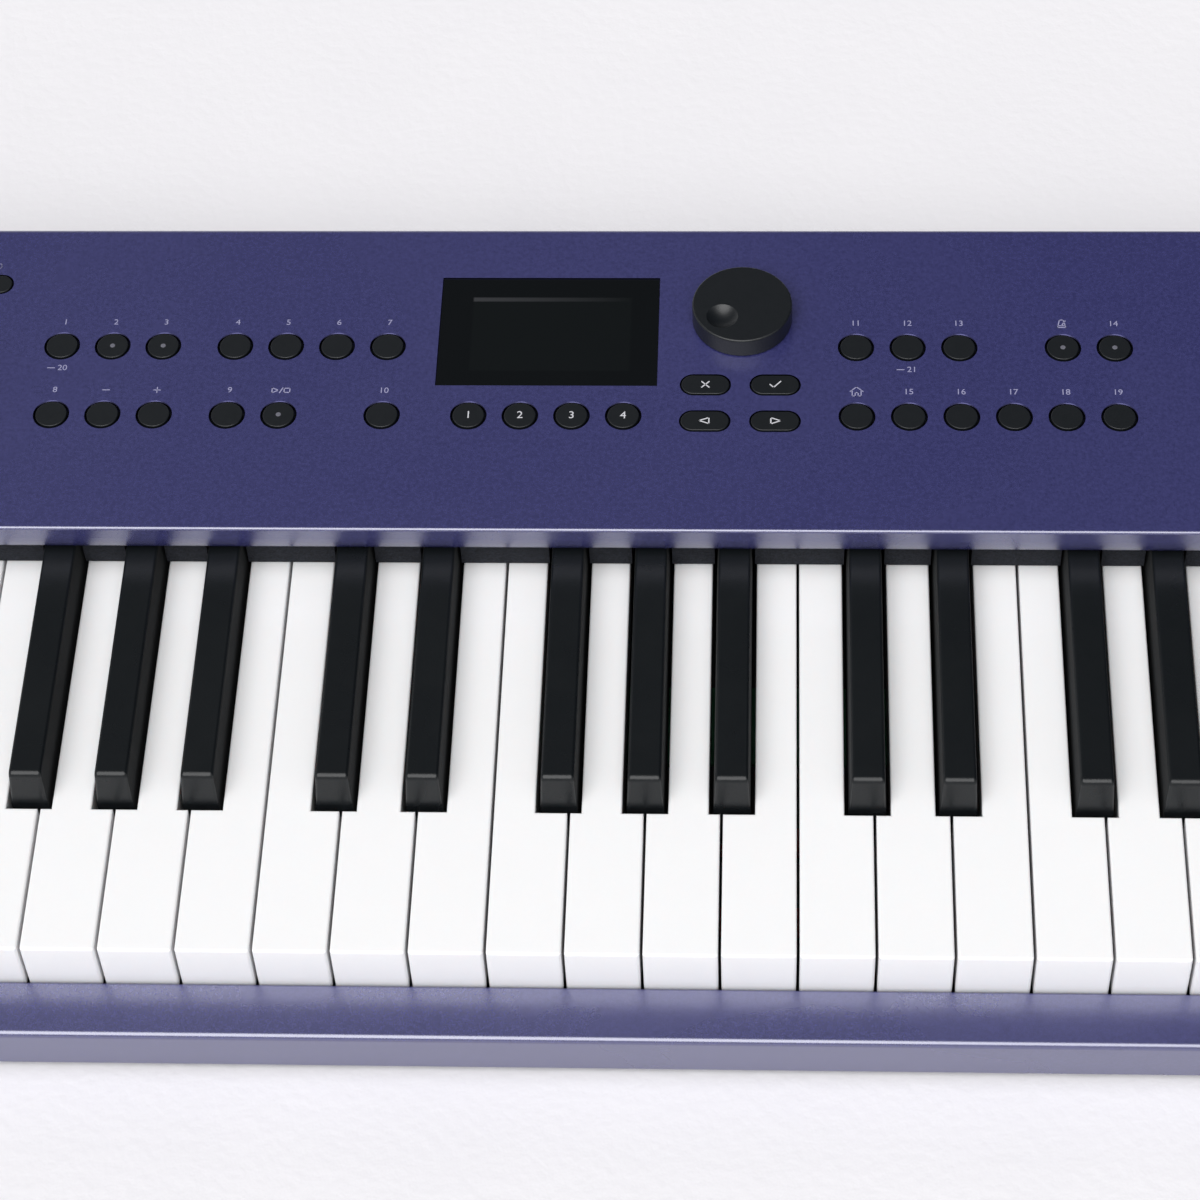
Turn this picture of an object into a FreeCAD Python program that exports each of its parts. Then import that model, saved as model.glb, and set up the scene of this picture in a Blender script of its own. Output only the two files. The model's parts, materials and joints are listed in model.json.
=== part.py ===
"""Arranger keyboard with five octaves of full-size keys.

Millimetres, +Z up, +X towards the treble end, +Y away from the player.
The origin is the centre of the footprint, on the surface that the feet stand on.
Each sub-part is written to parts/NODE.step.
"""

import FreeCAD
import Part
import math
import os

Vector = FreeCAD.Vector

# Keys: the white key pitch sets the length of the whole instrument
WHITE_COUNT = 36
WHITE_PITCH = 23.5
KEY_GAP = 0.9
WHITE_VISIBLE_LENGTH = 147.0
WHITE_HEAD_LENGTH = 51.0
WHITE_HEIGHT = 20.5
WHITE_TOP_Z = 46.5
WHITE_DIP = 10.0
BLACK_WIDTH = 11.4
BLACK_TOP_WIDTH = 10.2
BLACK_RISE = 12.0
BLACK_FRONT_SLOPE = 2.6
BLACK_DIP = 8.0
BLACK_TAIL_WIDTH = 9.0
BLACK_SPREAD_OF_TWO = 2.2
BLACK_SPREAD_OF_THREE = 3.2
NOTCH_SIDE_CLEARANCE = 1.4
NOTCH_FRONT_CLEARANCE = 2.0
KEY_WALL = 1.6
KEY_CEILING = 2.2
KEY_TOP_ROUND = 0.7
KEY_CORNER_ROUND = 1.0
BLACK_ROUND = 1.0
BLACK_NOSE_ROUND = 2.0
PIVOT_SETBACK = 39.5
PIVOT_DROP = 10.5
PIVOT_ROD_RADIUS = 1.5
RUNNING_CLEARANCE = 0.05
TAIL_OVERHANG = 6.5
TAIL_BLOCK_LENGTH = 24.5
ACTUATOR_THICKNESS = 3.0

# Case: panel, lip, rail and end blocks round the keys
END_BLOCK_WIDTH = 72.4
END_GAP = 0.6
PANEL_DEPTH = 130.5
PANEL_RISE = 25.0
PANEL_THICKNESS = 3.0
CASE_WALL = 2.5
LIP_OVERHANG = 5.5
LIP_CLEARANCE = 2.0
LIP_ROUND = 1.0
LIP_CURVE_HEIGHT = 6.0
LIP_CURVE_DEPTH = 1.7
REAR_ROUND = 2.5
END_ROUND = 2.0
RAIL_DEPTH = 18.2
RAIL_KEY_GAP = 0.8
RAIL_DROP = 17.6
RAIL_SLOPE = 1.4
RAIL_UNDERCUT = 4.4
RAIL_EDGE_ROUND = 1.7
RAIL_BACK_ROUND = 0.8
RAIL_BACK_WALL = 12.0
CHEEK_RISE = 3.5
CHEEK_FRONT_SETBACK = 28.0
CHEEK_ROUND = 14.0
OVERRUN = 5.0

# Floor of the case, its feet and screws
FOOT_HEIGHT = 4.0
FOOT_RADIUS = 8.0
FOOT_ROUND = 0.8
FOOT_INSET = 40.0
FLOOR_THICKNESS = 2.5
FLOOR_CLEARANCE = 0.4
BOSS_RADIUS = 3.6
SCREW_RADIUS = 1.4
SCREW_LENGTH = 14.0
SCREW_HEAD_RADIUS = 2.7
SCREW_HEAD_HEIGHT = 1.3
SCREW_CLEARANCE = 0.1
SCREW_PILOT_EXTRA = 2.0
REAR_BOSS_INSET = 6.4
REAR_BOSS_SHARES = (-0.955, -0.52, -0.22, 0.52, 0.955)
RAIL_BOSS_SHARES = (-0.75, -0.25, 0.25, 0.75)
CHEEK_BOSS_SHARE = 0.35

# Key chassis, its stops, contacts and springs
LEG_HEIGHT = 2.5
LEG_THICKNESS = 3.0
LEG_SHARES = (0.04, 0.5, 0.96)
DECK_THICKNESS = 2.5
DECK_FRONT_INSET = 4.5
DECK_BEHIND_PIVOT = 12.0
RIB_THICKNESS = 2.0
RIB_SIDE_CLEARANCE = 0.5
RIB_HALF_DEPTH = 7.0
RIB_CAP = 4.0
TONGUE_THICKNESS = 3.0
TONGUE_SETBACK = 8.5
TONGUE_ENGAGEMENT = 7.0
TONGUE_CLEARANCE = 0.4
STOP_DEPTH = 9.0
STOP_CLEARANCE = 0.3
STOP_FELT = 3.0
WHITE_STOP_SETBACK = 26.5
BLACK_STOP_SETBACK = 2.5
CONTACT_BOARD_DEPTH = 30.0
CONTACT_BOARD_GAP = 17.7
BOARD_THICKNESS = 1.6
DOME_RADIUS = 3.6
DOME_TOP_RADIUS = 2.4
DOME_CLEARANCE = 0.3
SPRING_RADIUS = 2.8
SPRING_WIRE = 0.6
SPRING_TO_PIVOT = 12.5
BACK_FELT_THICKNESS = 4.0
BACK_FELT_CLEARANCE = 0.8

# Controls on the panel, in a row to both sides of the display
COLUMN_PITCH = 16.95
GROUP_GAP = 24.1
DISPLAY_TO_BUTTONS = 16.85
UPPER_ROW_SETBACK = 77.1
LOWER_ROW_SETBACK = 47.5
FUNCTION_PITCH = 16.85
FUNCTION_OFFSET = 0.475
BUTTON_RADIUS = 5.15
BUTTON_CLEARANCE = 0.6
BUTTON_PROUD = 0.25
BUTTON_ROUND = 0.25
BUTTON_TRAVEL = 0.7
BUTTON_FLANGE = 1.0
BUTTON_FLANGE_OVERLAP = 0.9
BUTTON_FLANGE_GAP = 0.2
STEM_RADIUS = 1.8
PILL_LENGTH = 15.6
PILL_WIDTH = 7.9
NAVIGATION_PITCH = 22.8
NAVIGATION_OFFSET = -0.4
NAVIGATION_TO_BUTTONS = 18.75
NAVIGATION_SETBACK = 45.4
NAVIGATION_ROW_PITCH = 15.4
POWER_LENGTH = 11.9
POWER_WIDTH = 7.5
POWER_TO_BUTTONS = 26.4
POWER_INSET = 26.0
HOLE_CHAMFER = 0.25
DIAL_SIDE_GAP = 11.3
DIAL_FRONT_GAP = 8.25
DIAL_RADIUS = 16.5
DIAL_HEIGHT = 7.2
DIAL_ROUND = 0.6
DIAL_DIMPLE_RADIUS = 5.2
DIAL_DIMPLE_DEPTH = 1.9
DIAL_DIMPLE_PLACE = 8.6
DIAL_DIMPLE_ANGLE = 220.5
KNOB_GAP = 0.5
KNOB_STEM_RADIUS = 3.0
KNOB_HOLE_RADIUS = 5.2
VOLUME_TO_BUTTONS = 34.3
VOLUME_SETBACK = 69.0
VOLUME_RADIUS = 8.5
VOLUME_HEIGHT = 8.0
VOLUME_ROUND = 0.8
POINTER_WIDTH = 1.0
POINTER_DEPTH = 0.6
ENCODER_SIDE = 12.0
ENCODER_HEIGHT = 5.0
BUSH_RADIUS = 4.6
BUSH_HEIGHT = 4.2
BUSH_FLOOR = 2.0

# Display and the boards that carry the controls
DISPLAY_X = -12.2
DISPLAY_FRONT_GAP = 13.0
DISPLAY_LENGTH = 72.6
DISPLAY_DEPTH = 47.0
DISPLAY_CLEARANCE = 0.2
DISPLAY_THICKNESS = 1.5
DISPLAY_SINK = 0.5
DISPLAY_LEDGE = 3.0
LCD_MARGIN = 4.0
PANEL_BOARD_DROP = 9.9
PANEL_BOARD_MARGIN = 16.0
PANEL_BOARD_FRONT = 32.0
PANEL_BOARD_REAR = 12.5
SWITCH_SIDE = 6.0
SWITCH_HEIGHT = 3.4
SWITCH_CAP_RADIUS = 1.7
SWITCH_CAP_HEIGHT = 0.9
SWITCH_GAP = 0.2
BOARD_BOSS_RADIUS = 2.6

# Pitch and modulation wheels at the bass end of the panel
WHEEL_RADIUS = 21.0
WHEEL_WIDTH = 9.0
WHEEL_SPACING = 22.0
WHEEL_SETBACK = 62.0
WHEEL_PROUD = 8.5
WHEEL_ROUND = 1.0
WHEEL_NOTCH_RADIUS = 6.0
WHEEL_NOTCH_DEPTH = 1.8
WHEEL_SLOT_CLEARANCE = 1.0
WHEEL_AXLE_RADIUS = 2.5
WHEEL_PLATE = 2.5
WHEEL_PLATE_GAP = 3.0
WHEEL_PLATE_DEPTH = 18.0
WHEEL_BASE_GAP = 2.0
AXLE_END_GAP = 0.2
MOD_REST_ANGLE = 40.0

# Main board, connectors on the back and speakers
MAIN_BOARD_LENGTH = 270.0
MAIN_BOARD_DEPTH = 50.0
MAIN_BOARD_X = 75.0
MAIN_BOARD_RAISE = 5.5
MAIN_BOARD_REAR_GAP = 2.5
CONNECTOR_RISE = 9.0
CONNECTOR_PITCH = 31.0
JACK_WIDTH = 16.0
JACK_HEIGHT = 17.0
JACK_LENGTH = 31.0
JACK_NOSE_RADIUS = 5.8
JACK_BORE_RADIUS = 3.25
JACK_BORE_LENGTH = 28.0
DC_WIDTH = 11.0
DC_LENGTH = 15.0
DC_BORE_RADIUS = 3.1
DC_PIN_RADIUS = 1.05
DC_BORE_LENGTH = 9.5
USB_WALL = 0.5
USB_LENGTH = 16.0
USB_TONGUE = 1.8
USB_HOST_WIDTH = 13.2
USB_HOST_HEIGHT = 5.8
USB_LINK_WIDTH = 12.0
USB_LINK_HEIGHT = 10.8
CONNECTOR_SINK = 0.4
CONNECTOR_CLEARANCE = 0.3
SPEAKER_LENGTH = 118.0
SPEAKER_WIDTH = 58.0
SPEAKER_INSET = 112.0
SPEAKER_FLANGE = 2.0
SPEAKER_RIM = 5.0
SPEAKER_BASKET = 22.0
SPEAKER_SKIN = 1.5
MAGNET_RADIUS = 19.0
MAGNET_HEIGHT = 12.0
CONE_SKIN = 0.8
CONE_GAP = 0.4
SLOT_COUNT = 9
SLOT_WIDTH = 3.2
SLOT_PITCH = 7.5
SLOT_LENGTH = 42.0

# Battery bay under the floor
BAY_SPEAKER_GAP = 57.0
BAY_LENGTH = 118.0
BAY_WIDTH = 46.0
BAY_HEIGHT = 17.0
BAY_WALL = 4.0
BAY_LEDGE = 2.0
BAY_BOSS_GAP = 1.5
COVER_CLEARANCE = 0.4
COVER_GAP = 0.1
COVER_GRIP_LENGTH = 16.0
COVER_GRIP_WIDTH = 3.0
COVER_GRIP_DEPTH = 1.0
CONTACT_PLATE = 0.6
CONTACT_SIDE = 9.0
CONTACT_BUMP_RADIUS = 2.4
CONTACT_BUMP_HEIGHT = 3.0
CELL_COUNT = 3

# Lengths and heights that follow from the values above
KEYS_LENGTH = WHITE_COUNT * WHITE_PITCH
KEYS_LEFT_X = -KEYS_LENGTH / 2
WELL_HALF = KEYS_LENGTH / 2 + END_GAP
CASE_HALF = WELL_HALF + END_BLOCK_WIDTH
CASE_DEPTH = RAIL_DEPTH + RAIL_KEY_GAP + WHITE_VISIBLE_LENGTH - LIP_OVERHANG + PANEL_DEPTH
FRONT_Y = -CASE_DEPTH / 2
REAR_Y = CASE_DEPTH / 2
KEY_FRONT_Y = FRONT_Y + RAIL_DEPTH + RAIL_KEY_GAP
FELT_FRONT_Y = KEY_FRONT_Y + WHITE_VISIBLE_LENGTH
PANEL_FRONT_Y = FELT_FRONT_Y - LIP_OVERHANG
PIVOT_Y = FELT_FRONT_Y + PIVOT_SETBACK
TAIL_END_Y = PIVOT_Y + TAIL_OVERHANG
NOTCH_Y = KEY_FRONT_Y + WHITE_HEAD_LENGTH
BLACK_FRONT_Y = NOTCH_Y + NOTCH_FRONT_CLEARANCE
BLACK_HIGH_END_Y = FELT_FRONT_Y + BACK_FELT_THICKNESS + LIP_CLEARANCE
BLACK_TONGUE_Y = BLACK_FRONT_Y + BLACK_STOP_SETBACK + STOP_DEPTH + TONGUE_SETBACK
CONTACT_BOARD_Y = BLACK_TONGUE_Y + TONGUE_THICKNESS / 2 + CONTACT_BOARD_GAP
ACTUATOR_Y = CONTACT_BOARD_Y + CONTACT_BOARD_DEPTH / 2
REAR_INNER_Y = REAR_Y - CASE_WALL

CASE_BOTTOM_Z = FOOT_HEIGHT
FLOOR_TOP_Z = CASE_BOTTOM_Z + FLOOR_THICKNESS
DECK_BOTTOM_Z = FLOOR_TOP_Z + LEG_HEIGHT
DECK_TOP_Z = DECK_BOTTOM_Z + DECK_THICKNESS
WHITE_BOTTOM_Z = WHITE_TOP_Z - WHITE_HEIGHT
PIVOT_Z = WHITE_TOP_Z - PIVOT_DROP
BLACK_TOP_Z = WHITE_TOP_Z + BLACK_RISE
LIP_BOTTOM_Z = BLACK_TOP_Z + LIP_CLEARANCE
PANEL_TOP_Z = WHITE_TOP_Z + PANEL_RISE
PANEL_UNDER_Z = PANEL_TOP_Z - PANEL_THICKNESS
RAIL_BACK_Z = WHITE_TOP_Z - RAIL_DROP
RAIL_FRONT_Z = RAIL_BACK_Z - RAIL_SLOPE
CHEEK_TOP_Z = WHITE_TOP_Z + CHEEK_RISE
PANEL_BOARD_TOP_Z = PANEL_UNDER_Z - PANEL_BOARD_DROP
PANEL_BOARD_BOTTOM_Z = PANEL_BOARD_TOP_Z - BOARD_THICKNESS
SWITCH_TOP_Z = PANEL_BOARD_TOP_Z + SWITCH_HEIGHT + SWITCH_CAP_HEIGHT
MAIN_BOARD_TOP_Z = FLOOR_TOP_Z + MAIN_BOARD_RAISE + BOARD_THICKNESS
CONNECTOR_Z = MAIN_BOARD_TOP_Z + CONNECTOR_RISE

WHITE_DIP_ANGLE = math.asin(WHITE_DIP / (PIVOT_Y - KEY_FRONT_Y))
BLACK_DIP_ANGLE = math.asin(BLACK_DIP / (PIVOT_Y - BLACK_FRONT_Y))
CHASSIS_FRONT_Y = KEY_FRONT_Y + DECK_FRONT_INSET
CHASSIS_REAR_Y = PIVOT_Y + DECK_BEHIND_PIVOT
COMPARTMENT_MIDDLE_Y = (CHASSIS_REAR_Y + REAR_INNER_Y) / 2

WHITE_NOTES = ("c", "d", "e", "f", "g", "a", "b")
OCTAVE_WHITES = len(WHITE_NOTES)
OCTAVE_COUNT = WHITE_COUNT // OCTAVE_WHITES
MIDDLE_OCTAVE = OCTAVE_COUNT // 2
BLACK_AFTER = {"c": "c_sharp", "d": "d_sharp", "f": "f_sharp", "g": "g_sharp", "a": "a_sharp"}
BLACK_OFFSETS = {
    "c_sharp": -BLACK_SPREAD_OF_TWO,
    "d_sharp": BLACK_SPREAD_OF_TWO,
    "f_sharp": -BLACK_SPREAD_OF_THREE,
    "g_sharp": 0,
    "a_sharp": BLACK_SPREAD_OF_THREE,
}


# Simple solids

def block(x_range, y_range, z_range):
    """A box between two values on each axis."""
    size = [high - low for low, high in (x_range, y_range, z_range)]
    return Part.makeBox(*size, Vector(x_range[0], y_range[0], z_range[0]))


def around(middle, half):
    """The range that reaches half to each side of middle."""
    return middle - half, middle + half


def upright(radius, x, y, z_range):
    """A cylinder that stands along Z."""
    return Part.makeCylinder(radius, z_range[1] - z_range[0], Vector(x, y, z_range[0]))


def along_x(radius, x_range, y, z):
    """A cylinder that lies along X."""
    return Part.makeCylinder(radius, x_range[1] - x_range[0], Vector(x_range[0], y, z), Vector(1, 0, 0))


def along_y(radius, x, y_range, z):
    """A cylinder that lies along Y."""
    return Part.makeCylinder(radius, y_range[1] - y_range[0], Vector(x, y_range[0], z), Vector(0, 1, 0))


def rounded_prism(corners, x_range):
    """Extrudes a closed outline of (y, z, corner radius) along X, with an arc at each rounded corner."""
    def point(y, z):
        return Vector(x_range[0], y, z)

    ends = []
    for number, (y, z, radius) in enumerate(corners):
        here = point(y, z)
        before = (point(*corners[number - 1][:2]) - here).normalize()
        after = (point(*corners[(number + 1) % len(corners)][:2]) - here).normalize()
        turn = before.getAngle(after)
        reach = radius / math.tan(turn / 2)
        middle = (before + after).normalize()
        bulge = here + middle * (radius / math.sin(turn / 2) - radius)
        ends.append((here + before * reach, bulge, here + after * reach, radius))
    edges = []
    for number, (start, bulge, end, radius) in enumerate(ends):
        if radius:
            edges.append(Part.Arc(start, bulge, end).toShape())
        following = ends[(number + 1) % len(ends)][0]
        edges.append(Part.LineSegment(end, following).toShape())
    face = Part.Face(Part.Wire(edges))
    return face.extrude(Vector(x_range[1] - x_range[0], 0, 0))


def pill(length, width, x, y, z_range):
    """An upright solid with straight sides and round ends."""
    radius = width / 2
    left, right = around(x, length / 2 - radius)
    front, back = around(y, radius)

    def point(across, along):
        return Vector(across, along, z_range[0])

    right_end = Part.Arc(point(right, front), point(right + radius, y), point(right, back))
    left_end = Part.Arc(point(left, back), point(left - radius, y), point(left, front))
    front_side = Part.LineSegment(point(left, front), point(right, front))
    back_side = Part.LineSegment(point(right, back), point(left, back))
    outline = Part.Wire([side.toShape() for side in (front_side, right_end, back_side, left_end)])
    return Part.Face(outline).extrude(Vector(0, 0, z_range[1] - z_range[0]))


def edges_where(shape, test):
    """The edges whose every corner passes the test."""
    return [edge for edge in shape.Edges if all(test(v.Point) for v in edge.Vertexes)]


def level(z):
    """A test for points at one height."""
    return lambda p: math.isclose(p.z, z, abs_tol=RUNNING_CLEARANCE / 10)


def group(solids):
    """Several separate solids in one node."""
    return Part.makeCompound(solids)


def export(name, shape):
    shape.exportStep(os.path.join("parts", name + ".step"))
    print(name, len(shape.Solids), "solids", round(shape.Volume / 1000, 1), "cm3")


# Keys

def white_range(number):
    """The X range of a white key, counted from the bass end."""
    left = KEYS_LEFT_X + number * WHITE_PITCH
    return left + KEY_GAP / 2, left + WHITE_PITCH - KEY_GAP / 2


def black_middle(octave, note):
    """The X middle of a black key."""
    white = next(w for w, b in BLACK_AFTER.items() if b == note)
    number = octave * OCTAVE_WHITES + WHITE_NOTES.index(white)
    return KEYS_LEFT_X + (number + 1) * WHITE_PITCH + BLACK_OFFSETS[note]


def all_blacks():
    """Octave, note and X middle of every black key."""
    return [(o, n, black_middle(o, n)) for o in range(OCTAVE_COUNT) for n in BLACK_OFFSETS]


def tail_range(number):
    """The X range of a white key between the black keys beside it."""
    low, high = white_range(number)
    reach = BLACK_WIDTH / 2 + NOTCH_SIDE_CLEARANCE
    for _, _, middle in all_blacks():
        if low < middle + reach < high:
            low = middle + reach
        if low < middle - reach < high:
            high = middle - reach
    return low, high


def pressed_z(y, z, angle):
    """The height of a key's point once the key has turned by angle about the pivot."""
    return PIVOT_Z + (y - PIVOT_Y) * math.sin(angle) + (z - PIVOT_Z) * math.cos(angle)


def bore_for_rod(x_range):
    """The hole that runs on the pivot rod."""
    low, high = x_range
    return along_x(PIVOT_ROD_RADIUS + RUNNING_CLEARANCE, (low - OVERRUN, high + OVERRUN), PIVOT_Y, PIVOT_Z)


def hollow_tail(x_range, start_y, ceiling_z):
    """The space under a key's tail, parted by the rib that presses the contact."""
    inner = (x_range[0] + KEY_WALL, x_range[1] - KEY_WALL)
    z_range = (WHITE_BOTTOM_Z - OVERRUN, ceiling_z)
    rib_front, rib_back = around(ACTUATOR_Y, ACTUATOR_THICKNESS / 2)
    block_front = TAIL_END_Y - TAIL_BLOCK_LENGTH
    return [block(inner, (start_y, rib_front), z_range), block(inner, (rib_back, block_front), z_range)]


def white_key(number):
    """A hollow white key: a wide head, a tail between the black keys and a block with the pivot hole."""
    head, tail = white_range(number), tail_range(number)
    z_range = (WHITE_BOTTOM_Z, WHITE_TOP_Z)
    outside = block(head, (KEY_FRONT_Y, NOTCH_Y), z_range)
    outside = outside.fuse(block(tail, (KEY_FRONT_Y, TAIL_END_Y), z_range)).removeSplitter()
    corners = [
        edge
        for edge in edges_where(outside, lambda p: math.isclose(p.y, KEY_FRONT_Y))
        if edge.BoundBox.ZLength > WHITE_HEIGHT / 2
    ]
    outside = outside.makeFillet(KEY_CORNER_ROUND, corners)
    rims = edges_where(outside, level(WHITE_TOP_Z))
    rims = [edge for edge in rims if edge.BoundBox.YMin < TAIL_END_Y - KEY_TOP_ROUND]
    outside = outside.makeFillet(KEY_TOP_ROUND, rims)
    ceiling_z = WHITE_TOP_Z - KEY_CEILING
    front_inside = KEY_FRONT_Y + KEY_WALL
    inside = hollow_tail(tail, front_inside, ceiling_z)
    head_inside = (head[0] + KEY_WALL, head[1] - KEY_WALL)
    head_z = (WHITE_BOTTOM_Z - OVERRUN, ceiling_z)
    inside.append(block(head_inside, (front_inside, NOTCH_Y - KEY_WALL), head_z))
    return outside.cut(inside + [bore_for_rod(tail)])


def black_key(middle):
    """A hollow black key: a tapered top with a sloping nose, a skirt below it and a narrow tail."""
    half, top_half = BLACK_WIDTH / 2, BLACK_TOP_WIDTH / 2

    def ring(half_width, front, z):
        low, high = around(middle, half_width)
        corners = [(low, front), (high, front), (high, BLACK_HIGH_END_Y), (low, BLACK_HIGH_END_Y)]
        points = [Vector(x, y, z) for x, y in corners]
        return Part.makePolygon(points + points[:1])

    nose_y = BLACK_FRONT_Y + BLACK_FRONT_SLOPE
    rings = [ring(half, BLACK_FRONT_Y, WHITE_TOP_Z), ring(top_half, nose_y, BLACK_TOP_Z)]
    cap = Part.makeLoft(rings, True, True)
    nose = edges_where(cap, lambda p: level(BLACK_TOP_Z)(p) and p.y < BLACK_HIGH_END_Y - BLACK_NOSE_ROUND)
    cap = cap.makeFillet(BLACK_NOSE_ROUND, nose)
    sides = [
        edge
        for edge in cap.Edges
        if edge.BoundBox.XLength < top_half
        and edge.BoundBox.ZMax > WHITE_TOP_Z + BLACK_ROUND
        and edge.BoundBox.YMin < BLACK_HIGH_END_Y - BLACK_ROUND
    ]
    cap = cap.makeFillet(BLACK_ROUND, sides)
    skirt = block(around(middle, half), (BLACK_FRONT_Y, BLACK_HIGH_END_Y), (WHITE_BOTTOM_Z, WHITE_TOP_Z))
    tail_x = around(middle, BLACK_TAIL_WIDTH / 2)
    tail = block(tail_x, (BLACK_HIGH_END_Y, TAIL_END_Y), (WHITE_BOTTOM_Z, WHITE_TOP_Z))
    whole = cap.fuse([skirt, tail]).removeSplitter()
    inside = hollow_tail(tail_x, nose_y, WHITE_TOP_Z - KEY_CEILING)
    skirt_inside = around(middle, half - KEY_WALL)
    skirt_z = (WHITE_BOTTOM_Z - OVERRUN, WHITE_TOP_Z)
    rib_front = ACTUATOR_Y - ACTUATOR_THICKNESS / 2
    inside.append(block(skirt_inside, (BLACK_FRONT_Y + KEY_WALL, rib_front), skirt_z))
    return whole.cut(inside + [bore_for_rod(tail_x)])


def make_keys():
    """The middle octave as single keys, and each note of the other octaves as one group of keys."""
    for step, note in enumerate(WHITE_NOTES):
        numbers = [octave * OCTAVE_WHITES + step for octave in range(OCTAVE_COUNT)]
        middle = numbers.pop(MIDDLE_OCTAVE)
        numbers += [n for n in range(OCTAVE_COUNT * OCTAVE_WHITES, WHITE_COUNT) if n % OCTAVE_WHITES == step]
        export(f"key_{note}_middle", white_key(middle))
        export(f"keys_{note}_outer", group([white_key(n) for n in numbers]))
    for note in BLACK_OFFSETS:
        middles = [black_middle(octave, note) for octave in range(OCTAVE_COUNT)]
        export(f"key_{note}_middle", black_key(middles.pop(MIDDLE_OCTAVE)))
        export(f"keys_{note}_outer", group([black_key(x) for x in middles]))


# Chassis under the keys

def stop_range(setback, front_y):
    """The Y range of a stop strip, and the middle of it."""
    middle = front_y + setback + STOP_DEPTH / 2
    return around(middle, STOP_DEPTH / 2)


def stop_tops():
    """For white and black keys: the Y range of the stop felt and its top, just under the pressed keys."""
    stops = []
    for front_y, setback, angle in (
        (KEY_FRONT_Y, WHITE_STOP_SETBACK, WHITE_DIP_ANGLE),
        (BLACK_FRONT_Y, BLACK_STOP_SETBACK, BLACK_DIP_ANGLE),
    ):
        y_range = stop_range(setback, front_y)
        low = min(pressed_z(y_range[0], WHITE_BOTTOM_Z, a) for a in (WHITE_DIP_ANGLE, angle))
        stops.append((y_range, low - STOP_CLEARANCE))
    return stops


def make_chassis():
    """The moulded deck that carries the pivot rod, the guide tongues and the stop rails."""
    half = KEYS_LENGTH / 2
    depth = CHASSIS_REAR_Y - CHASSIS_FRONT_Y
    x_range = (-half, half)
    pieces = []
    for share in LEG_SHARES:
        leg_y = around(CHASSIS_FRONT_Y + depth * share, LEG_THICKNESS / 2)
        pieces.append(block(x_range, leg_y, (FLOOR_TOP_Z, DECK_BOTTOM_Z)))
    for y_range, top in stop_tops():
        pieces.append(block(x_range, y_range, (DECK_TOP_Z, top - STOP_FELT)))
    tongue_top = WHITE_BOTTOM_Z + TONGUE_ENGAGEMENT
    for number in range(WHITE_COUNT):
        low, high = white_range(number)
        inset = KEY_WALL + TONGUE_CLEARANCE
        tongue_y = around(KEY_FRONT_Y + TONGUE_SETBACK, TONGUE_THICKNESS / 2)
        pieces.append(block((low + inset, high - inset), tongue_y, (DECK_TOP_Z, tongue_top)))
    for _, _, middle in all_blacks():
        tongue_half = BLACK_WIDTH / 2 - KEY_WALL - TONGUE_CLEARANCE
        tongue_y = around(BLACK_TONGUE_Y, TONGUE_THICKNESS / 2)
        pieces.append(block(around(middle, tongue_half), tongue_y, (DECK_TOP_Z, tongue_top)))
        rib_left = middle + BLACK_TAIL_WIDTH / 2 + RIB_SIDE_CLEARANCE
        rib_x = (rib_left, rib_left + RIB_THICKNESS)
        pieces.append(block(rib_x, around(PIVOT_Y, RIB_HALF_DEPTH), (DECK_TOP_Z, PIVOT_Z + RIB_CAP)))
    deck = block(x_range, (CHASSIS_FRONT_Y, CHASSIS_REAR_Y), (DECK_BOTTOM_Z, DECK_TOP_Z))
    export("key_chassis", deck.fuse(pieces).cut([bore_for_rod(x_range)]))
    export("pivot_rod", along_x(PIVOT_ROD_RADIUS, x_range, PIVOT_Y, PIVOT_Z))
    felts = [block(x_range, y_range, (top - STOP_FELT, top)) for y_range, top in stop_tops()]
    export("key_stop_felts", group(felts))


def key_middles():
    """X middle and dip angle of every key at its tail."""
    whites = [(sum(tail_range(n)) / 2, WHITE_DIP_ANGLE) for n in range(WHITE_COUNT)]
    return whites + [(x, BLACK_DIP_ANGLE) for _, _, x in all_blacks()]


def make_contacts():
    """The contact board with a rubber dome under each key, and a return spring in front of each pivot."""
    half = KEYS_LENGTH / 2
    board_top = DECK_TOP_Z + BOARD_THICKNESS
    board_y = (CONTACT_BOARD_Y, CONTACT_BOARD_Y + CONTACT_BOARD_DEPTH)
    export("contact_board", block((-half, half), board_y, (DECK_TOP_Z, board_top)))
    domes, springs = [], []
    spring_y = PIVOT_Y - SPRING_TO_PIVOT
    for x, angle in key_middles():
        top = pressed_z(ACTUATOR_Y - ACTUATOR_THICKNESS / 2, WHITE_BOTTOM_Z, angle) - DOME_CLEARANCE
        place = Vector(x, ACTUATOR_Y, board_top)
        domes.append(Part.makeCone(DOME_RADIUS, DOME_TOP_RADIUS, top - board_top, place))
        spring_top = pressed_z(spring_y - SPRING_RADIUS, WHITE_BOTTOM_Z, angle) - STOP_CLEARANCE
        coil = upright(SPRING_RADIUS, x, spring_y, (DECK_TOP_Z, spring_top))
        inside_z = (DECK_TOP_Z - OVERRUN, spring_top + OVERRUN)
        inside = upright(SPRING_RADIUS - SPRING_WIRE, x, spring_y, inside_z)
        springs.append(coil.cut(inside))
    export("contact_domes", group(domes))
    export("key_springs", group(springs))


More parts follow.
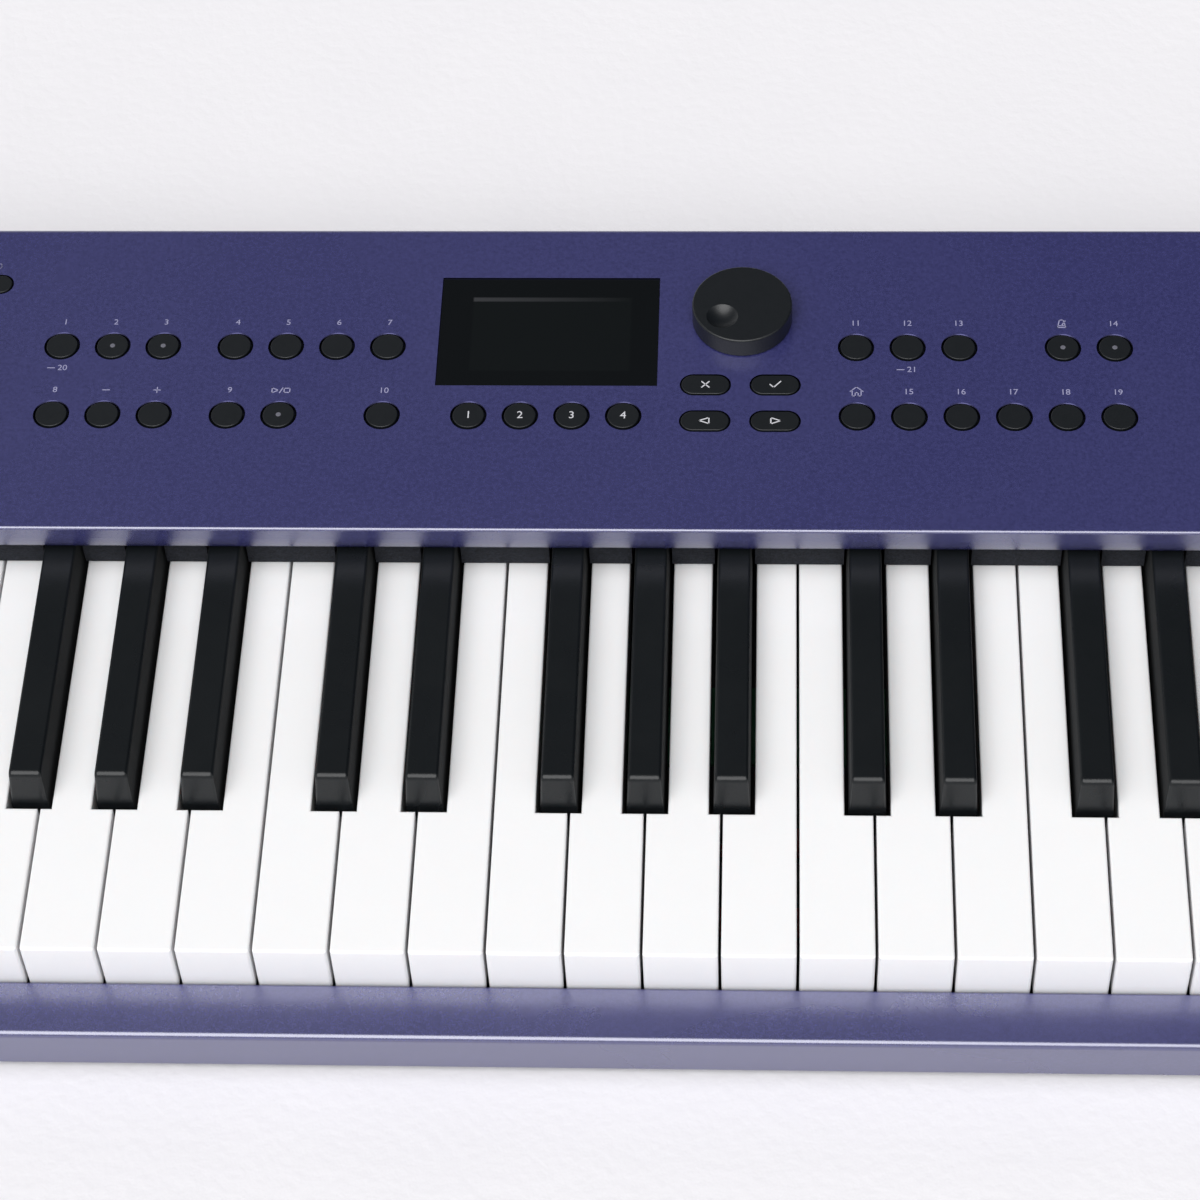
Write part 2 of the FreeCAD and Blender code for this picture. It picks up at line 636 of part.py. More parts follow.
def make_back_felt():
    """The felt that closes the slot behind the keys, notched round the black keys."""
    y_range = (FELT_FRONT_Y, FELT_FRONT_Y + BACK_FELT_THICKNESS)
    strip = block((-WELL_HALF, WELL_HALF), y_range, (WHITE_TOP_Z + BACK_FELT_CLEARANCE, PANEL_UNDER_Z))
    notch_z = (WHITE_TOP_Z - OVERRUN, BLACK_TOP_Z + BACK_FELT_CLEARANCE)
    notch_y = (y_range[0] - OVERRUN, y_range[1] + OVERRUN)
    notch_half = BLACK_WIDTH / 2 + BACK_FELT_CLEARANCE
    notches = [block(around(x, notch_half), notch_y, notch_z) for _, _, x in all_blacks()]
    export("key_back_felt", strip.cut(notches))


# Places on the panel

def on_panel(setback):
    """The Y of a place measured back from the panel's front edge."""
    return PANEL_FRONT_Y + setback


def columns(first_x, numbers):
    """X of the numbered columns of a group of buttons."""
    return [first_x + COLUMN_PITCH * n for n in numbers]


DISPLAY_LEFT_X, DISPLAY_RIGHT_X = around(DISPLAY_X, DISPLAY_LENGTH / 2)
SECOND_GROUP_X = DISPLAY_LEFT_X - DISPLAY_TO_BUTTONS - 3 * COLUMN_PITCH
LEFT_GROUP_X = SECOND_GROUP_X - GROUP_GAP - 2 * COLUMN_PITCH
FUNCTION_FIRST_X = DISPLAY_X + FUNCTION_OFFSET - 1.5 * FUNCTION_PITCH
DIAL_X = DISPLAY_RIGHT_X + DIAL_SIDE_GAP + DIAL_RADIUS
NAVIGATION_X = around(DIAL_X + NAVIGATION_OFFSET, NAVIGATION_PITCH / 2)
RIGHT_GROUP_X = NAVIGATION_X[1] + PILL_LENGTH / 2 + NAVIGATION_TO_BUTTONS
RIGHT_END_X = RIGHT_GROUP_X + 5 * COLUMN_PITCH
POWER_X = LEFT_GROUP_X - POWER_TO_BUTTONS
VOLUME_X = LEFT_GROUP_X - VOLUME_TO_BUTTONS
UPPER_Y = on_panel(UPPER_ROW_SETBACK)
LOWER_Y = on_panel(LOWER_ROW_SETBACK)
NAVIGATION_LOWER_Y = on_panel(NAVIGATION_SETBACK)
NAVIGATION_UPPER_Y = NAVIGATION_LOWER_Y + NAVIGATION_ROW_PITCH
DIAL_Y = NAVIGATION_UPPER_Y + PILL_WIDTH / 2 + DIAL_FRONT_GAP + DIAL_RADIUS
DISPLAY_Y = LOWER_Y + DISPLAY_FRONT_GAP + DISPLAY_DEPTH / 2

ROUND_BUTTONS = {
    "left_upper_buttons": (columns(LEFT_GROUP_X, (0, 1, 2)) + columns(SECOND_GROUP_X, (0, 1, 2, 3)), UPPER_Y),
    "left_lower_buttons": (columns(LEFT_GROUP_X, (0, 1, 2)) + columns(SECOND_GROUP_X, (0, 1, 3)), LOWER_Y),
    "function_buttons": ([FUNCTION_FIRST_X + FUNCTION_PITCH * n for n in range(4)], LOWER_Y),
    "right_upper_buttons": (columns(RIGHT_GROUP_X, (0, 1, 2, 4, 5)), UPPER_Y),
    "right_lower_buttons": (columns(RIGHT_GROUP_X, (0, 1, 2, 3, 4, 5)), LOWER_Y),
}
PILL_BUTTONS = {
    "navigation_buttons": [
        (x, y, PILL_LENGTH, PILL_WIDTH)
        for y in (NAVIGATION_UPPER_Y, NAVIGATION_LOWER_Y)
        for x in NAVIGATION_X
    ],
    "power_button": [(POWER_X, REAR_Y - POWER_INSET, POWER_LENGTH, POWER_WIDTH)],
}
KNOBS = {
    "data_dial": (DIAL_X, DIAL_Y),
    "volume_knob": (VOLUME_X, on_panel(VOLUME_SETBACK)),
}
WHEEL_Y = on_panel(WHEEL_SETBACK)
WHEEL_Z = PANEL_TOP_Z + WHEEL_PROUD - WHEEL_RADIUS
WHEELS_X = -(WELL_HALF + END_BLOCK_WIDTH / 2)
WHEELS = {"pitch_wheel": WHEELS_X - WHEEL_SPACING / 2, "mod_wheel": WHEELS_X + WHEEL_SPACING / 2}


def button_places():
    """X and Y of every button."""
    places = [(x, y) for xs, y in ROUND_BUTTONS.values() for x in xs]
    return places + [(x, y) for pills in PILL_BUTTONS.values() for x, y, _, _ in pills]


# Buttons, knobs and wheels

def button_foot(x, y):
    """The stem that reaches from a button's flange down to its switch."""
    flange_bottom = PANEL_UNDER_Z - BUTTON_FLANGE_GAP - BUTTON_FLANGE
    return upright(STEM_RADIUS, x, y, (SWITCH_TOP_Z + SWITCH_GAP + BUTTON_TRAVEL, flange_bottom))


def button(cap, flange, x, y):
    """A cap with a rounded rim, the flange that holds it under the panel, and its stem."""
    top = PANEL_TOP_Z + BUTTON_PROUD
    cap = cap.makeFillet(BUTTON_ROUND, edges_where(cap, level(top)))
    return cap.fuse([flange, button_foot(x, y)]).removeSplitter()


def make_buttons():
    flange_top = PANEL_UNDER_Z - BUTTON_FLANGE_GAP
    flange_z = (flange_top - BUTTON_FLANGE, flange_top)
    cap_z = (flange_top, PANEL_TOP_Z + BUTTON_PROUD)
    wider = BUTTON_CLEARANCE + BUTTON_FLANGE_OVERLAP
    for name, (xs, y) in ROUND_BUTTONS.items():
        solids = []
        for x in xs:
            cap = upright(BUTTON_RADIUS, x, y, cap_z)
            solids.append(button(cap, upright(BUTTON_RADIUS + wider, x, y, flange_z), x, y))
        export(name, group(solids))
    for name, pills in PILL_BUTTONS.items():
        solids = []
        for x, y, length, width in pills:
            cap = pill(length, width, x, y, cap_z)
            flange = pill(length + 2 * wider, width + 2 * wider, x, y, flange_z)
            solids.append(button(cap, flange, x, y))
        export(name, group(solids))


def knob_stem(x, y):
    """The shaft of a knob, down into the bush of its encoder or potentiometer."""
    bottom = PANEL_BOARD_TOP_Z + BUSH_FLOOR + BUTTON_FLANGE_GAP
    return upright(KNOB_STEM_RADIUS, x, y, (bottom, PANEL_TOP_Z + KNOB_GAP))


def make_data_dial():
    """The large dial with a finger dimple in its top."""
    x, y = KNOBS["data_dial"]
    top = PANEL_TOP_Z + KNOB_GAP + DIAL_HEIGHT
    body = upright(DIAL_RADIUS, x, y, (PANEL_TOP_Z + KNOB_GAP, top))
    body = body.makeFillet(DIAL_ROUND, edges_where(body, level(top)))
    turn = math.radians(DIAL_DIMPLE_ANGLE)
    ball_radius = (DIAL_DIMPLE_RADIUS ** 2 + DIAL_DIMPLE_DEPTH ** 2) / (2 * DIAL_DIMPLE_DEPTH)
    middle = Vector(x + DIAL_DIMPLE_PLACE * math.cos(turn), y + DIAL_DIMPLE_PLACE * math.sin(turn), top)
    ball = Part.makeSphere(ball_radius, middle + Vector(0, 0, ball_radius - DIAL_DIMPLE_DEPTH))
    export("data_dial", body.cut(ball).fuse(knob_stem(x, y)).removeSplitter())


def make_volume_knob():
    """The small knob with a pointer line cut in its top."""
    x, y = KNOBS["volume_knob"]
    top = PANEL_TOP_Z + KNOB_GAP + VOLUME_HEIGHT
    body = upright(VOLUME_RADIUS, x, y, (PANEL_TOP_Z + KNOB_GAP, top))
    body = body.makeFillet(VOLUME_ROUND, edges_where(body, level(top)))
    pointer_y = (y + VOLUME_RADIUS / 3, y + VOLUME_RADIUS + OVERRUN)
    pointer = block(around(x, POINTER_WIDTH / 2), pointer_y, (top - POINTER_DEPTH, top + OVERRUN))
    export("volume_knob", body.cut(pointer).fuse(knob_stem(x, y)).removeSplitter())


def make_rotary_controls():
    """The encoder under the dial and the potentiometer under the volume knob, each with its bush."""
    solids = []
    body_top = PANEL_BOARD_TOP_Z + ENCODER_HEIGHT
    for x, y in KNOBS.values():
        half = ENCODER_SIDE / 2
        body = block(around(x, half), around(y, half), (PANEL_BOARD_TOP_Z, body_top))
        bush = upright(BUSH_RADIUS, x, y, (body_top, body_top + BUSH_HEIGHT))
        bore_z = (PANEL_BOARD_TOP_Z + BUSH_FLOOR, body_top + BUSH_HEIGHT + OVERRUN)
        bore = upright(KNOB_STEM_RADIUS + RUNNING_CLEARANCE, x, y, bore_z)
        solids.append(body.fuse(bush).cut(bore))
    export("rotary_controls", group(solids))


def make_wheels():
    """The two wheels, each with a finger notch at the top and an axle stub on both sides."""
    plate_x = wheel_plates_x()
    for name, x in WHEELS.items():
        low, high = around(x, WHEEL_WIDTH / 2)
        wheel = along_x(WHEEL_RADIUS, (low, high), WHEEL_Y, WHEEL_Z)
        rims = [e for e in wheel.Edges if e.BoundBox.XLength < WHEEL_ROUND]
        wheel = wheel.makeFillet(WHEEL_ROUND, rims)
        notch_z = WHEEL_Z + WHEEL_RADIUS - WHEEL_NOTCH_DEPTH + WHEEL_NOTCH_RADIUS
        notch = along_x(WHEEL_NOTCH_RADIUS, (low - OVERRUN, high + OVERRUN), WHEEL_Y, notch_z)
        if name == "mod_wheel":
            notch.rotate(Vector(x, WHEEL_Y, WHEEL_Z), Vector(1, 0, 0), MOD_REST_ANGLE)
        left = max(p for p in plate_x if p < x)
        right = min(p for p in plate_x if p > x)
        axle_x = [left - WHEEL_PLATE / 2, right + WHEEL_PLATE / 2]
        axle_x[0 if left == WHEELS_X else 1] = WHEELS_X + math.copysign(AXLE_END_GAP, x - WHEELS_X)
        axle = along_x(WHEEL_AXLE_RADIUS, axle_x, WHEEL_Y, WHEEL_Z)
        export(name, wheel.cut(notch).fuse(axle).removeSplitter())


def wheel_plates_x():
    """The X middles of the three plates that hold the wheels."""
    reach = WHEEL_SPACING / 2 + WHEEL_WIDTH / 2 + WHEEL_PLATE_GAP + WHEEL_PLATE / 2
    return WHEELS_X - reach, WHEELS_X, WHEELS_X + reach


def make_wheel_bracket():
    """The bracket under the panel whose three plates carry the wheels' axles."""
    base_top = WHEEL_Z - WHEEL_RADIUS - WHEEL_BASE_GAP
    y_range = around(WHEEL_Y, WHEEL_PLATE_DEPTH / 2)
    plates = wheel_plates_x()
    half = WHEEL_PLATE / 2
    base = block((plates[0] - half, plates[-1] + half), y_range, (base_top - WHEEL_PLATE, base_top))
    uprights = [block(around(x, half), y_range, (base_top - WHEEL_PLATE, PANEL_UNDER_Z)) for x in plates]
    ends = (plates[0] - OVERRUN, plates[-1] + OVERRUN)
    bore = along_x(WHEEL_AXLE_RADIUS + RUNNING_CLEARANCE, ends, WHEEL_Y, WHEEL_Z)
    export("wheel_bracket", base.fuse(uprights).removeSplitter().cut(bore))


# Boards and display behind the panel

def panel_board_ranges():
    """X and Y ranges of the board behind the panel."""
    left = min(VOLUME_X, POWER_X) - PANEL_BOARD_MARGIN
    right = RIGHT_END_X + PANEL_BOARD_MARGIN
    return (left, right), (on_panel(PANEL_BOARD_FRONT), REAR_INNER_Y - PANEL_BOARD_REAR)


def panel_boss_places():
    """Where the panel's posts meet the board: between the buttons, and along its rear edge."""
    rear = panel_board_ranges()[1][1] - 2 * BOARD_BOSS_RADIUS
    middle = (UPPER_Y + LOWER_Y) / 2
    columns_x = [x + COLUMN_PITCH / 2 for x in (LEFT_GROUP_X, SECOND_GROUP_X, RIGHT_GROUP_X)]
    columns_x.append(RIGHT_END_X - COLUMN_PITCH / 2)
    return [(x, middle) for x in columns_x] + [(x, rear) for x in (LEFT_GROUP_X, RIGHT_END_X)]


def make_panel_board():
    x_range, y_range = panel_board_ranges()
    export("panel_board", block(x_range, y_range, (PANEL_BOARD_BOTTOM_Z, PANEL_BOARD_TOP_Z)))
    switches = []
    body_top = PANEL_BOARD_TOP_Z + SWITCH_HEIGHT
    for x, y in button_places():
        half = SWITCH_SIDE / 2
        body = block(around(x, half), around(y, half), (PANEL_BOARD_TOP_Z, body_top))
        switches.append(body.fuse(upright(SWITCH_CAP_RADIUS, x, y, (body_top, SWITCH_TOP_Z))))
    export("tact_switches", group(switches))


def display_block(margin, z_range):
    """A box under or in the display opening, larger than the window by margin on each side."""
    x_range = around(DISPLAY_X, DISPLAY_LENGTH / 2 + margin)
    return block(x_range, around(DISPLAY_Y, DISPLAY_DEPTH / 2 + margin), z_range)


DISPLAY_TOP_Z = PANEL_TOP_Z - DISPLAY_SINK
DISPLAY_UNDER_Z = DISPLAY_TOP_Z - DISPLAY_THICKNESS


def make_display():
    """The window in the panel and the display module below it, which stands on the board."""
    export("display_window", display_block(0, (DISPLAY_UNDER_Z, DISPLAY_TOP_Z)))
    export("lcd_module", display_block(-LCD_MARGIN, (PANEL_BOARD_TOP_Z, DISPLAY_UNDER_Z - DISPLAY_CLEARANCE)))


def board_ranges():
    """X and Y ranges of the main board."""
    rear = REAR_INNER_Y - MAIN_BOARD_REAR_GAP
    return around(MAIN_BOARD_X, MAIN_BOARD_LENGTH / 2), (rear - MAIN_BOARD_DEPTH, rear)


def board_posts():
    """The floor's posts under the main board's corners."""
    (left, right), (front, rear) = board_ranges()
    z_range = (FLOOR_TOP_Z, FLOOR_TOP_Z + MAIN_BOARD_RAISE)
    inset = 2 * BOARD_BOSS_RADIUS
    places = [(x, y) for x in (left + inset, right - inset) for y in (front + inset, rear - inset)]
    return [upright(BOARD_BOSS_RADIUS, x, y, z_range) for x, y in places]


CONNECTORS = ("dc", "usb_link", "usb_host", "pedal", "phones")
CONNECTOR_END_Y = REAR_Y - CONNECTOR_SINK


def connector_x(name):
    """X of a connector in the row on the back."""
    return MAIN_BOARD_X + (CONNECTORS.index(name) - (len(CONNECTORS) - 1) / 2) * CONNECTOR_PITCH


def jack_socket(name):
    """A quarter-inch socket: a body on the board, a nose through the back wall and a plain bore."""
    x = connector_x(name)
    body_y = (CONNECTOR_END_Y - JACK_LENGTH, REAR_INNER_Y - CONNECTOR_CLEARANCE)
    body = block(around(x, JACK_WIDTH / 2), body_y, (MAIN_BOARD_TOP_Z, MAIN_BOARD_TOP_Z + JACK_HEIGHT))
    nose = along_y(JACK_NOSE_RADIUS, x, (body_y[1], CONNECTOR_END_Y), CONNECTOR_Z)
    bore_y = (CONNECTOR_END_Y - JACK_BORE_LENGTH, CONNECTOR_END_Y + OVERRUN)
    return body.fuse(nose).cut(along_y(JACK_BORE_RADIUS, x, bore_y, CONNECTOR_Z))


def dc_socket():
    """The power inlet: a square body, a round mouth and a centre pin."""
    x = connector_x("dc")
    front = CONNECTOR_END_Y - DC_LENGTH
    half = DC_WIDTH / 2
    body_y = (front, REAR_INNER_Y - CONNECTOR_CLEARANCE)
    body = block(around(x, half), body_y, (MAIN_BOARD_TOP_Z, CONNECTOR_Z + half))
    nose = along_y(half, x, (front, CONNECTOR_END_Y), CONNECTOR_Z)
    bore_y = (CONNECTOR_END_Y - DC_BORE_LENGTH, CONNECTOR_END_Y + OVERRUN)
    bore = along_y(DC_BORE_RADIUS, x, bore_y, CONNECTOR_Z)
    pin = along_y(DC_PIN_RADIUS, x, (bore_y[0], CONNECTOR_END_Y - DC_PIN_RADIUS), CONNECTOR_Z)
    return body.fuse(nose).cut(bore).fuse(pin)


def usb_socket(name, width, height):
    """A rectangular port: a shell with a tongue in it, on a block that lifts it off the board."""
    x = connector_x(name)
    y_range = (CONNECTOR_END_Y - USB_LENGTH, CONNECTOR_END_Y)
    shell_x, shell_z = around(x, width / 2), around(CONNECTOR_Z, height / 2)
    base_y = (y_range[0], REAR_INNER_Y - CONNECTOR_CLEARANCE)
    base = block(shell_x, base_y, (MAIN_BOARD_TOP_Z, shell_z[0]))
    shell = block(shell_x, y_range, shell_z)
    inner_x = (shell_x[0] + USB_WALL, shell_x[1] - USB_WALL)
    inner_z = (shell_z[0] + USB_WALL, shell_z[1] - USB_WALL)
    mouth_y = (y_range[0] + USB_LENGTH / 4, y_range[1] + OVERRUN)
    mouth = block(inner_x, mouth_y, inner_z)
    tongue_x = around(x, width / 2 - USB_TONGUE)
    tongue = block(tongue_x, (mouth_y[0], y_range[1] - USB_TONGUE), around(CONNECTOR_Z, USB_TONGUE / 2))
    return base.fuse(shell).removeSplitter().cut(mouth).fuse(tongue)


def make_main_board():
    x_range, y_range = board_ranges()
    export("main_board", block(x_range, y_range, (FLOOR_TOP_Z + MAIN_BOARD_RAISE, MAIN_BOARD_TOP_Z)))
    sockets = [
        dc_socket(),
        usb_socket("usb_link", USB_LINK_WIDTH, USB_LINK_HEIGHT),
        usb_socket("usb_host", USB_HOST_WIDTH, USB_HOST_HEIGHT),
        jack_socket("pedal"),
        jack_socket("phones"),
    ]
    export("rear_connectors", group(sockets))


def rear_openings():
    """The holes in the back wall for the connectors."""
    y_range = (REAR_INNER_Y - OVERRUN, REAR_Y + OVERRUN)
    gap = CONNECTOR_CLEARANCE
    openings = [along_y(DC_WIDTH / 2 + gap, connector_x("dc"), y_range, CONNECTOR_Z)]
    for name, width, height in (
        ("usb_link", USB_LINK_WIDTH, USB_LINK_HEIGHT),
        ("usb_host", USB_HOST_WIDTH, USB_HOST_HEIGHT),
    ):
        x_range = around(connector_x(name), width / 2 + gap)
        openings.append(block(x_range, y_range, around(CONNECTOR_Z, height / 2 + gap)))
    for name in ("pedal", "phones"):
        openings.append(along_y(JACK_NOSE_RADIUS + gap, connector_x(name), y_range, CONNECTOR_Z))
    return openings


# Case

def boss_places():
    """X, Y and owner of every screw boss that meets the floor."""
    rear = REAR_INNER_Y - REAR_BOSS_INSET
    places = [(CASE_HALF * share, rear, "top_case") for share in REAR_BOSS_SHARES]
    rail_y = FRONT_Y + RAIL_UNDERCUT + CASE_WALL + BOSS_RADIUS + FLOOR_CLEARANCE
    places += [(WELL_HALF * share, rail_y, "front_rail") for share in RAIL_BOSS_SHARES]
    cheek_y = FRONT_Y + CHEEK_BOSS_SHARE * (PANEL_FRONT_Y - FRONT_Y)
    cheek_x = WELL_HALF + END_BLOCK_WIDTH / 2
    return places + [(side * cheek_x, cheek_y, "end_blocks") for side in (-1, 1)]


def bosses(owner, top):
    """The screw posts of one casing piece, and the pilot holes in them."""
    posts, pilots = [], []
    pilot_top = CASE_BOTTOM_Z + SCREW_LENGTH + SCREW_PILOT_EXTRA
    for x, y, name in boss_places():
        if name == owner:
            posts.append(upright(BOSS_RADIUS, x, y, (FLOOR_TOP_Z, top)))
            pilots.append(upright(SCREW_RADIUS + RUNNING_CLEARANCE, x, y, (FLOOR_TOP_Z - OVERRUN, pilot_top)))
    return posts, pilots


def panel_openings():
    """The holes in the panel for buttons, knobs, wheels and the display."""
    z_range = (PANEL_UNDER_Z - OVERRUN, PANEL_TOP_Z + OVERRUN)
    bevel = PANEL_TOP_Z - HOLE_CHAMFER
    openings = []
    hole = BUTTON_RADIUS + BUTTON_CLEARANCE
    for xs, y in ROUND_BUTTONS.values():
        for x in xs:
            openings.append(upright(hole, x, y, z_range))
            openings.append(Part.makeCone(hole, hole + HOLE_CHAMFER, HOLE_CHAMFER, Vector(x, y, bevel)))
    for pills in PILL_BUTTONS.values():
        for x, y, length, width in pills:
            gap = 2 * BUTTON_CLEARANCE
            openings.append(pill(length + gap, width + gap, x, y, z_range))
    openings += [upright(KNOB_HOLE_RADIUS, x, y, z_range) for x, y in KNOBS.values()]
    drop = PANEL_TOP_Z - PANEL_THICKNESS - WHEEL_Z
    slot_half = math.sqrt(WHEEL_RADIUS ** 2 - min(drop, WHEEL_RADIUS / 2) ** 2) + WHEEL_SLOT_CLEARANCE
    for x in WHEELS.values():
        x_range = around(x, WHEEL_WIDTH / 2 + WHEEL_SLOT_CLEARANCE)
        openings.append(block(x_range, around(WHEEL_Y, slot_half), z_range))
    openings.append(display_block(DISPLAY_CLEARANCE, (DISPLAY_UNDER_Z, PANEL_TOP_Z + OVERRUN)))
    openings.append(display_block(-DISPLAY_LEDGE, z_range))
    return openings


def make_top_case():
    """The panel with its lip over the keys, the back wall and the end walls beside it."""
    outline = [
        (PANEL_FRONT_Y, CASE_BOTTOM_Z, 0),
        (PANEL_FRONT_Y, PANEL_TOP_Z, LIP_ROUND),
        (REAR_Y, PANEL_TOP_Z, REAR_ROUND),
        (REAR_Y, CASE_BOTTOM_Z, 0),
    ]
    outside = rounded_prism(outline, (-CASE_HALF, CASE_HALF))
    at_end = [
        edge
        for edge in edges_where(outside, lambda p: math.isclose(abs(p.x), CASE_HALF))
        if edge.BoundBox.XLength < END_ROUND and edge.BoundBox.ZMax > CASE_BOTTOM_Z + END_ROUND
        and not math.isclose(edge.BoundBox.YMax, PANEL_FRONT_Y, abs_tol=LIP_ROUND / 10)
    ]
    outside = outside.makeFillet(min(END_ROUND, CASE_WALL - KEY_TOP_ROUND), at_end)
    inner_half = CASE_HALF - CASE_WALL
    inner_x = (-inner_half, inner_half)
    below = CASE_BOTTOM_Z - OVERRUN
    inside = block(inner_x, (PANEL_FRONT_Y + CASE_WALL, REAR_INNER_Y), (below, PANEL_UNDER_Z))
    well_y = (PANEL_FRONT_Y - OVERRUN, PANEL_FRONT_Y + CASE_WALL + OVERRUN)
    well = block((-WELL_HALF, WELL_HALF), well_y, (below, LIP_BOTTOM_Z))
    floor_room = block(inner_x, well_y, (below, FLOOR_TOP_Z))
    curve_top = LIP_BOTTOM_Z + LIP_CURVE_HEIGHT
    curve_radius = (LIP_CURVE_HEIGHT ** 2 + LIP_CURVE_DEPTH ** 2) / (2 * LIP_CURVE_DEPTH)
    under_lip = block((-WELL_HALF, WELL_HALF), well_y, (LIP_BOTTOM_Z - OVERRUN, curve_top))
    roll = along_x(curve_radius, (-WELL_HALF, WELL_HALF), PANEL_FRONT_Y + curve_radius, curve_top)
    posts, pilots = bosses("top_case", PANEL_UNDER_Z)
    board_z = (PANEL_BOARD_TOP_Z, PANEL_UNDER_Z)
    posts += [upright(BOARD_BOSS_RADIUS, x, y, board_z) for x, y in panel_boss_places()]
    shell = outside.cut([inside, well, floor_room, under_lip.cut(roll)]).fuse(posts)
    export("top_case", shell.cut(panel_openings() + rear_openings() + pilots).removeSplitter())


def front_wall():
    """The foot of the sloping front face and its upper edge, as outline corners."""
    return (FRONT_Y + RAIL_UNDERCUT, CASE_BOTTOM_Z, 0), (FRONT_Y, RAIL_FRONT_Z, RAIL_EDGE_ROUND)


def front_inner_y(z):
    """The inner side of the sloping front face at a height, one wall behind the face."""
    slope = RAIL_UNDERCUT / (RAIL_FRONT_Z - CASE_BOTTOM_Z)
    return FRONT_Y + (RAIL_FRONT_Z - z) * slope + CASE_WALL * math.sqrt(1 + slope ** 2)


def front_inside(top_z):
    """The inner side of the front face, from below the case up to a height, as outline corners."""
    low = CASE_BOTTOM_Z - OVERRUN
    return (front_inner_y(low), low, 0), (front_inner_y(top_z), top_z, 0)


def make_front_rail():
    """The rail in front of the keys: a sloping front face, a flat top and a short back wall."""
    back = KEY_FRONT_Y - RAIL_KEY_GAP
    x_range = (-WELL_HALF, WELL_HALF)
    outline = [*front_wall(), (back, RAIL_BACK_Z, RAIL_BACK_ROUND), (back, CASE_BOTTOM_Z, 0)]
    under, below = RAIL_FRONT_Z - CASE_WALL, CASE_BOTTOM_Z - OVERRUN
    inside = [*front_inside(under), (back - CASE_WALL, under, 0), (back - CASE_WALL, below, 0)]
    shell = rounded_prism(outline, x_range).cut(rounded_prism(inside, x_range))
    back_y = (back - CASE_WALL - OVERRUN / 2, back + OVERRUN)
    shell = shell.cut(block(x_range, back_y, (below, RAIL_BACK_Z - RAIL_BACK_WALL)))
    posts, pilots = bosses("front_rail", under)
    export("front_rail", shell.fuse(posts).cut(pilots).removeSplitter())


def make_end_blocks():
    """The two hollow blocks beside the keys, whose tops slope down to the rail."""
    front_bottom, front_edge = front_wall()
    crest_y = FRONT_Y + CHEEK_FRONT_SETBACK
    outline = [
        front_bottom,
        front_edge,
        (crest_y, CHEEK_TOP_Z, CHEEK_ROUND),
        (PANEL_FRONT_Y, CHEEK_TOP_Z, 0),
        (PANEL_FRONT_Y, CASE_BOTTOM_Z, 0),
    ]
    under = RAIL_FRONT_Z - CASE_WALL
    inside = [
        *front_inside(under),
        (crest_y, CHEEK_TOP_Z - CASE_WALL, CHEEK_ROUND - CASE_WALL),
        (PANEL_FRONT_Y + OVERRUN, CHEEK_TOP_Z - CASE_WALL, 0),
        (PANEL_FRONT_Y + OVERRUN, CASE_BOTTOM_Z - OVERRUN, 0),
    ]
    room_for_floor = [
        *front_inside(FLOOR_TOP_Z),
        (PANEL_FRONT_Y + OVERRUN, FLOOR_TOP_Z, 0),
        (PANEL_FRONT_Y + OVERRUN, CASE_BOTTOM_Z - OVERRUN, 0),
    ]
    posts, pilots = bosses("end_blocks", CHEEK_TOP_Z - CASE_WALL)
    solids = []
    for side in (-1, 1):
        left, right = sorted((side * WELL_HALF, side * CASE_HALF))
        shell = rounded_prism(outline, (left, right))
        rim = [
            edge
            for edge in edges_where(shell, lambda p, s=side: math.isclose(p.x, s * CASE_HALF))
            if edge.BoundBox.ZMin > CASE_BOTTOM_Z - END_ROUND
            and edge.BoundBox.ZMax > CASE_BOTTOM_Z + END_ROUND
            and edge.BoundBox.YMin < PANEL_FRONT_Y - END_ROUND
        ]
        shell = shell.makeFillet(min(END_ROUND, RAIL_EDGE_ROUND, CASE_WALL) - KEY_TOP_ROUND, rim)
        hollow = rounded_prism(inside, (left + CASE_WALL, right - CASE_WALL))
        room_x = sorted((side * (WELL_HALF - OVERRUN), side * (CASE_HALF - CASE_WALL)))
        room = rounded_prism(room_for_floor, room_x)
        post = next(p for p in posts if p.BoundBox.Center.x * side > 0)
        solids.append(shell.cut([hollow, room]).fuse(post).cut(pilots).removeSplitter())
    export("end_blocks", group(solids))


# Floor of the case

def bay_ranges(margin):
    """X and Y ranges of the battery bay, larger by margin on each side."""
    rear = REAR_INNER_Y - REAR_BOSS_INSET - BOSS_RADIUS - BAY_BOSS_GAP - BAY_WALL
    middle_y = rear - BAY_WIDTH / 2
    speaker_end = speaker_places()[0][0] + SPEAKER_LENGTH / 2
    middle_x = speaker_end + BAY_SPEAKER_GAP + BAY_WALL + BAY_LENGTH / 2
    return around(middle_x, BAY_LENGTH / 2 + margin), around(middle_y, BAY_WIDTH / 2 + margin)


def speaker_places():
    return [(side * (CASE_HALF - SPEAKER_INSET), COMPARTMENT_MIDDLE_Y) for side in (-1, 1)]


def speaker_slots():
    """The slots in the floor under each speaker."""
    slots = []
    z_range = (CASE_BOTTOM_Z - OVERRUN, FLOOR_TOP_Z + OVERRUN)
    for x, y in speaker_places():
        for number in range(SLOT_COUNT):
            slot_x = x + (number - (SLOT_COUNT - 1) / 2) * SLOT_PITCH
            slots.append(pill(SLOT_LENGTH, SLOT_WIDTH, 0, 0, z_range))
            slots[-1].rotate(Vector(0, 0, 0), Vector(0, 0, 1), 90)
            slots[-1].translate(Vector(slot_x, y, 0))
    return slots


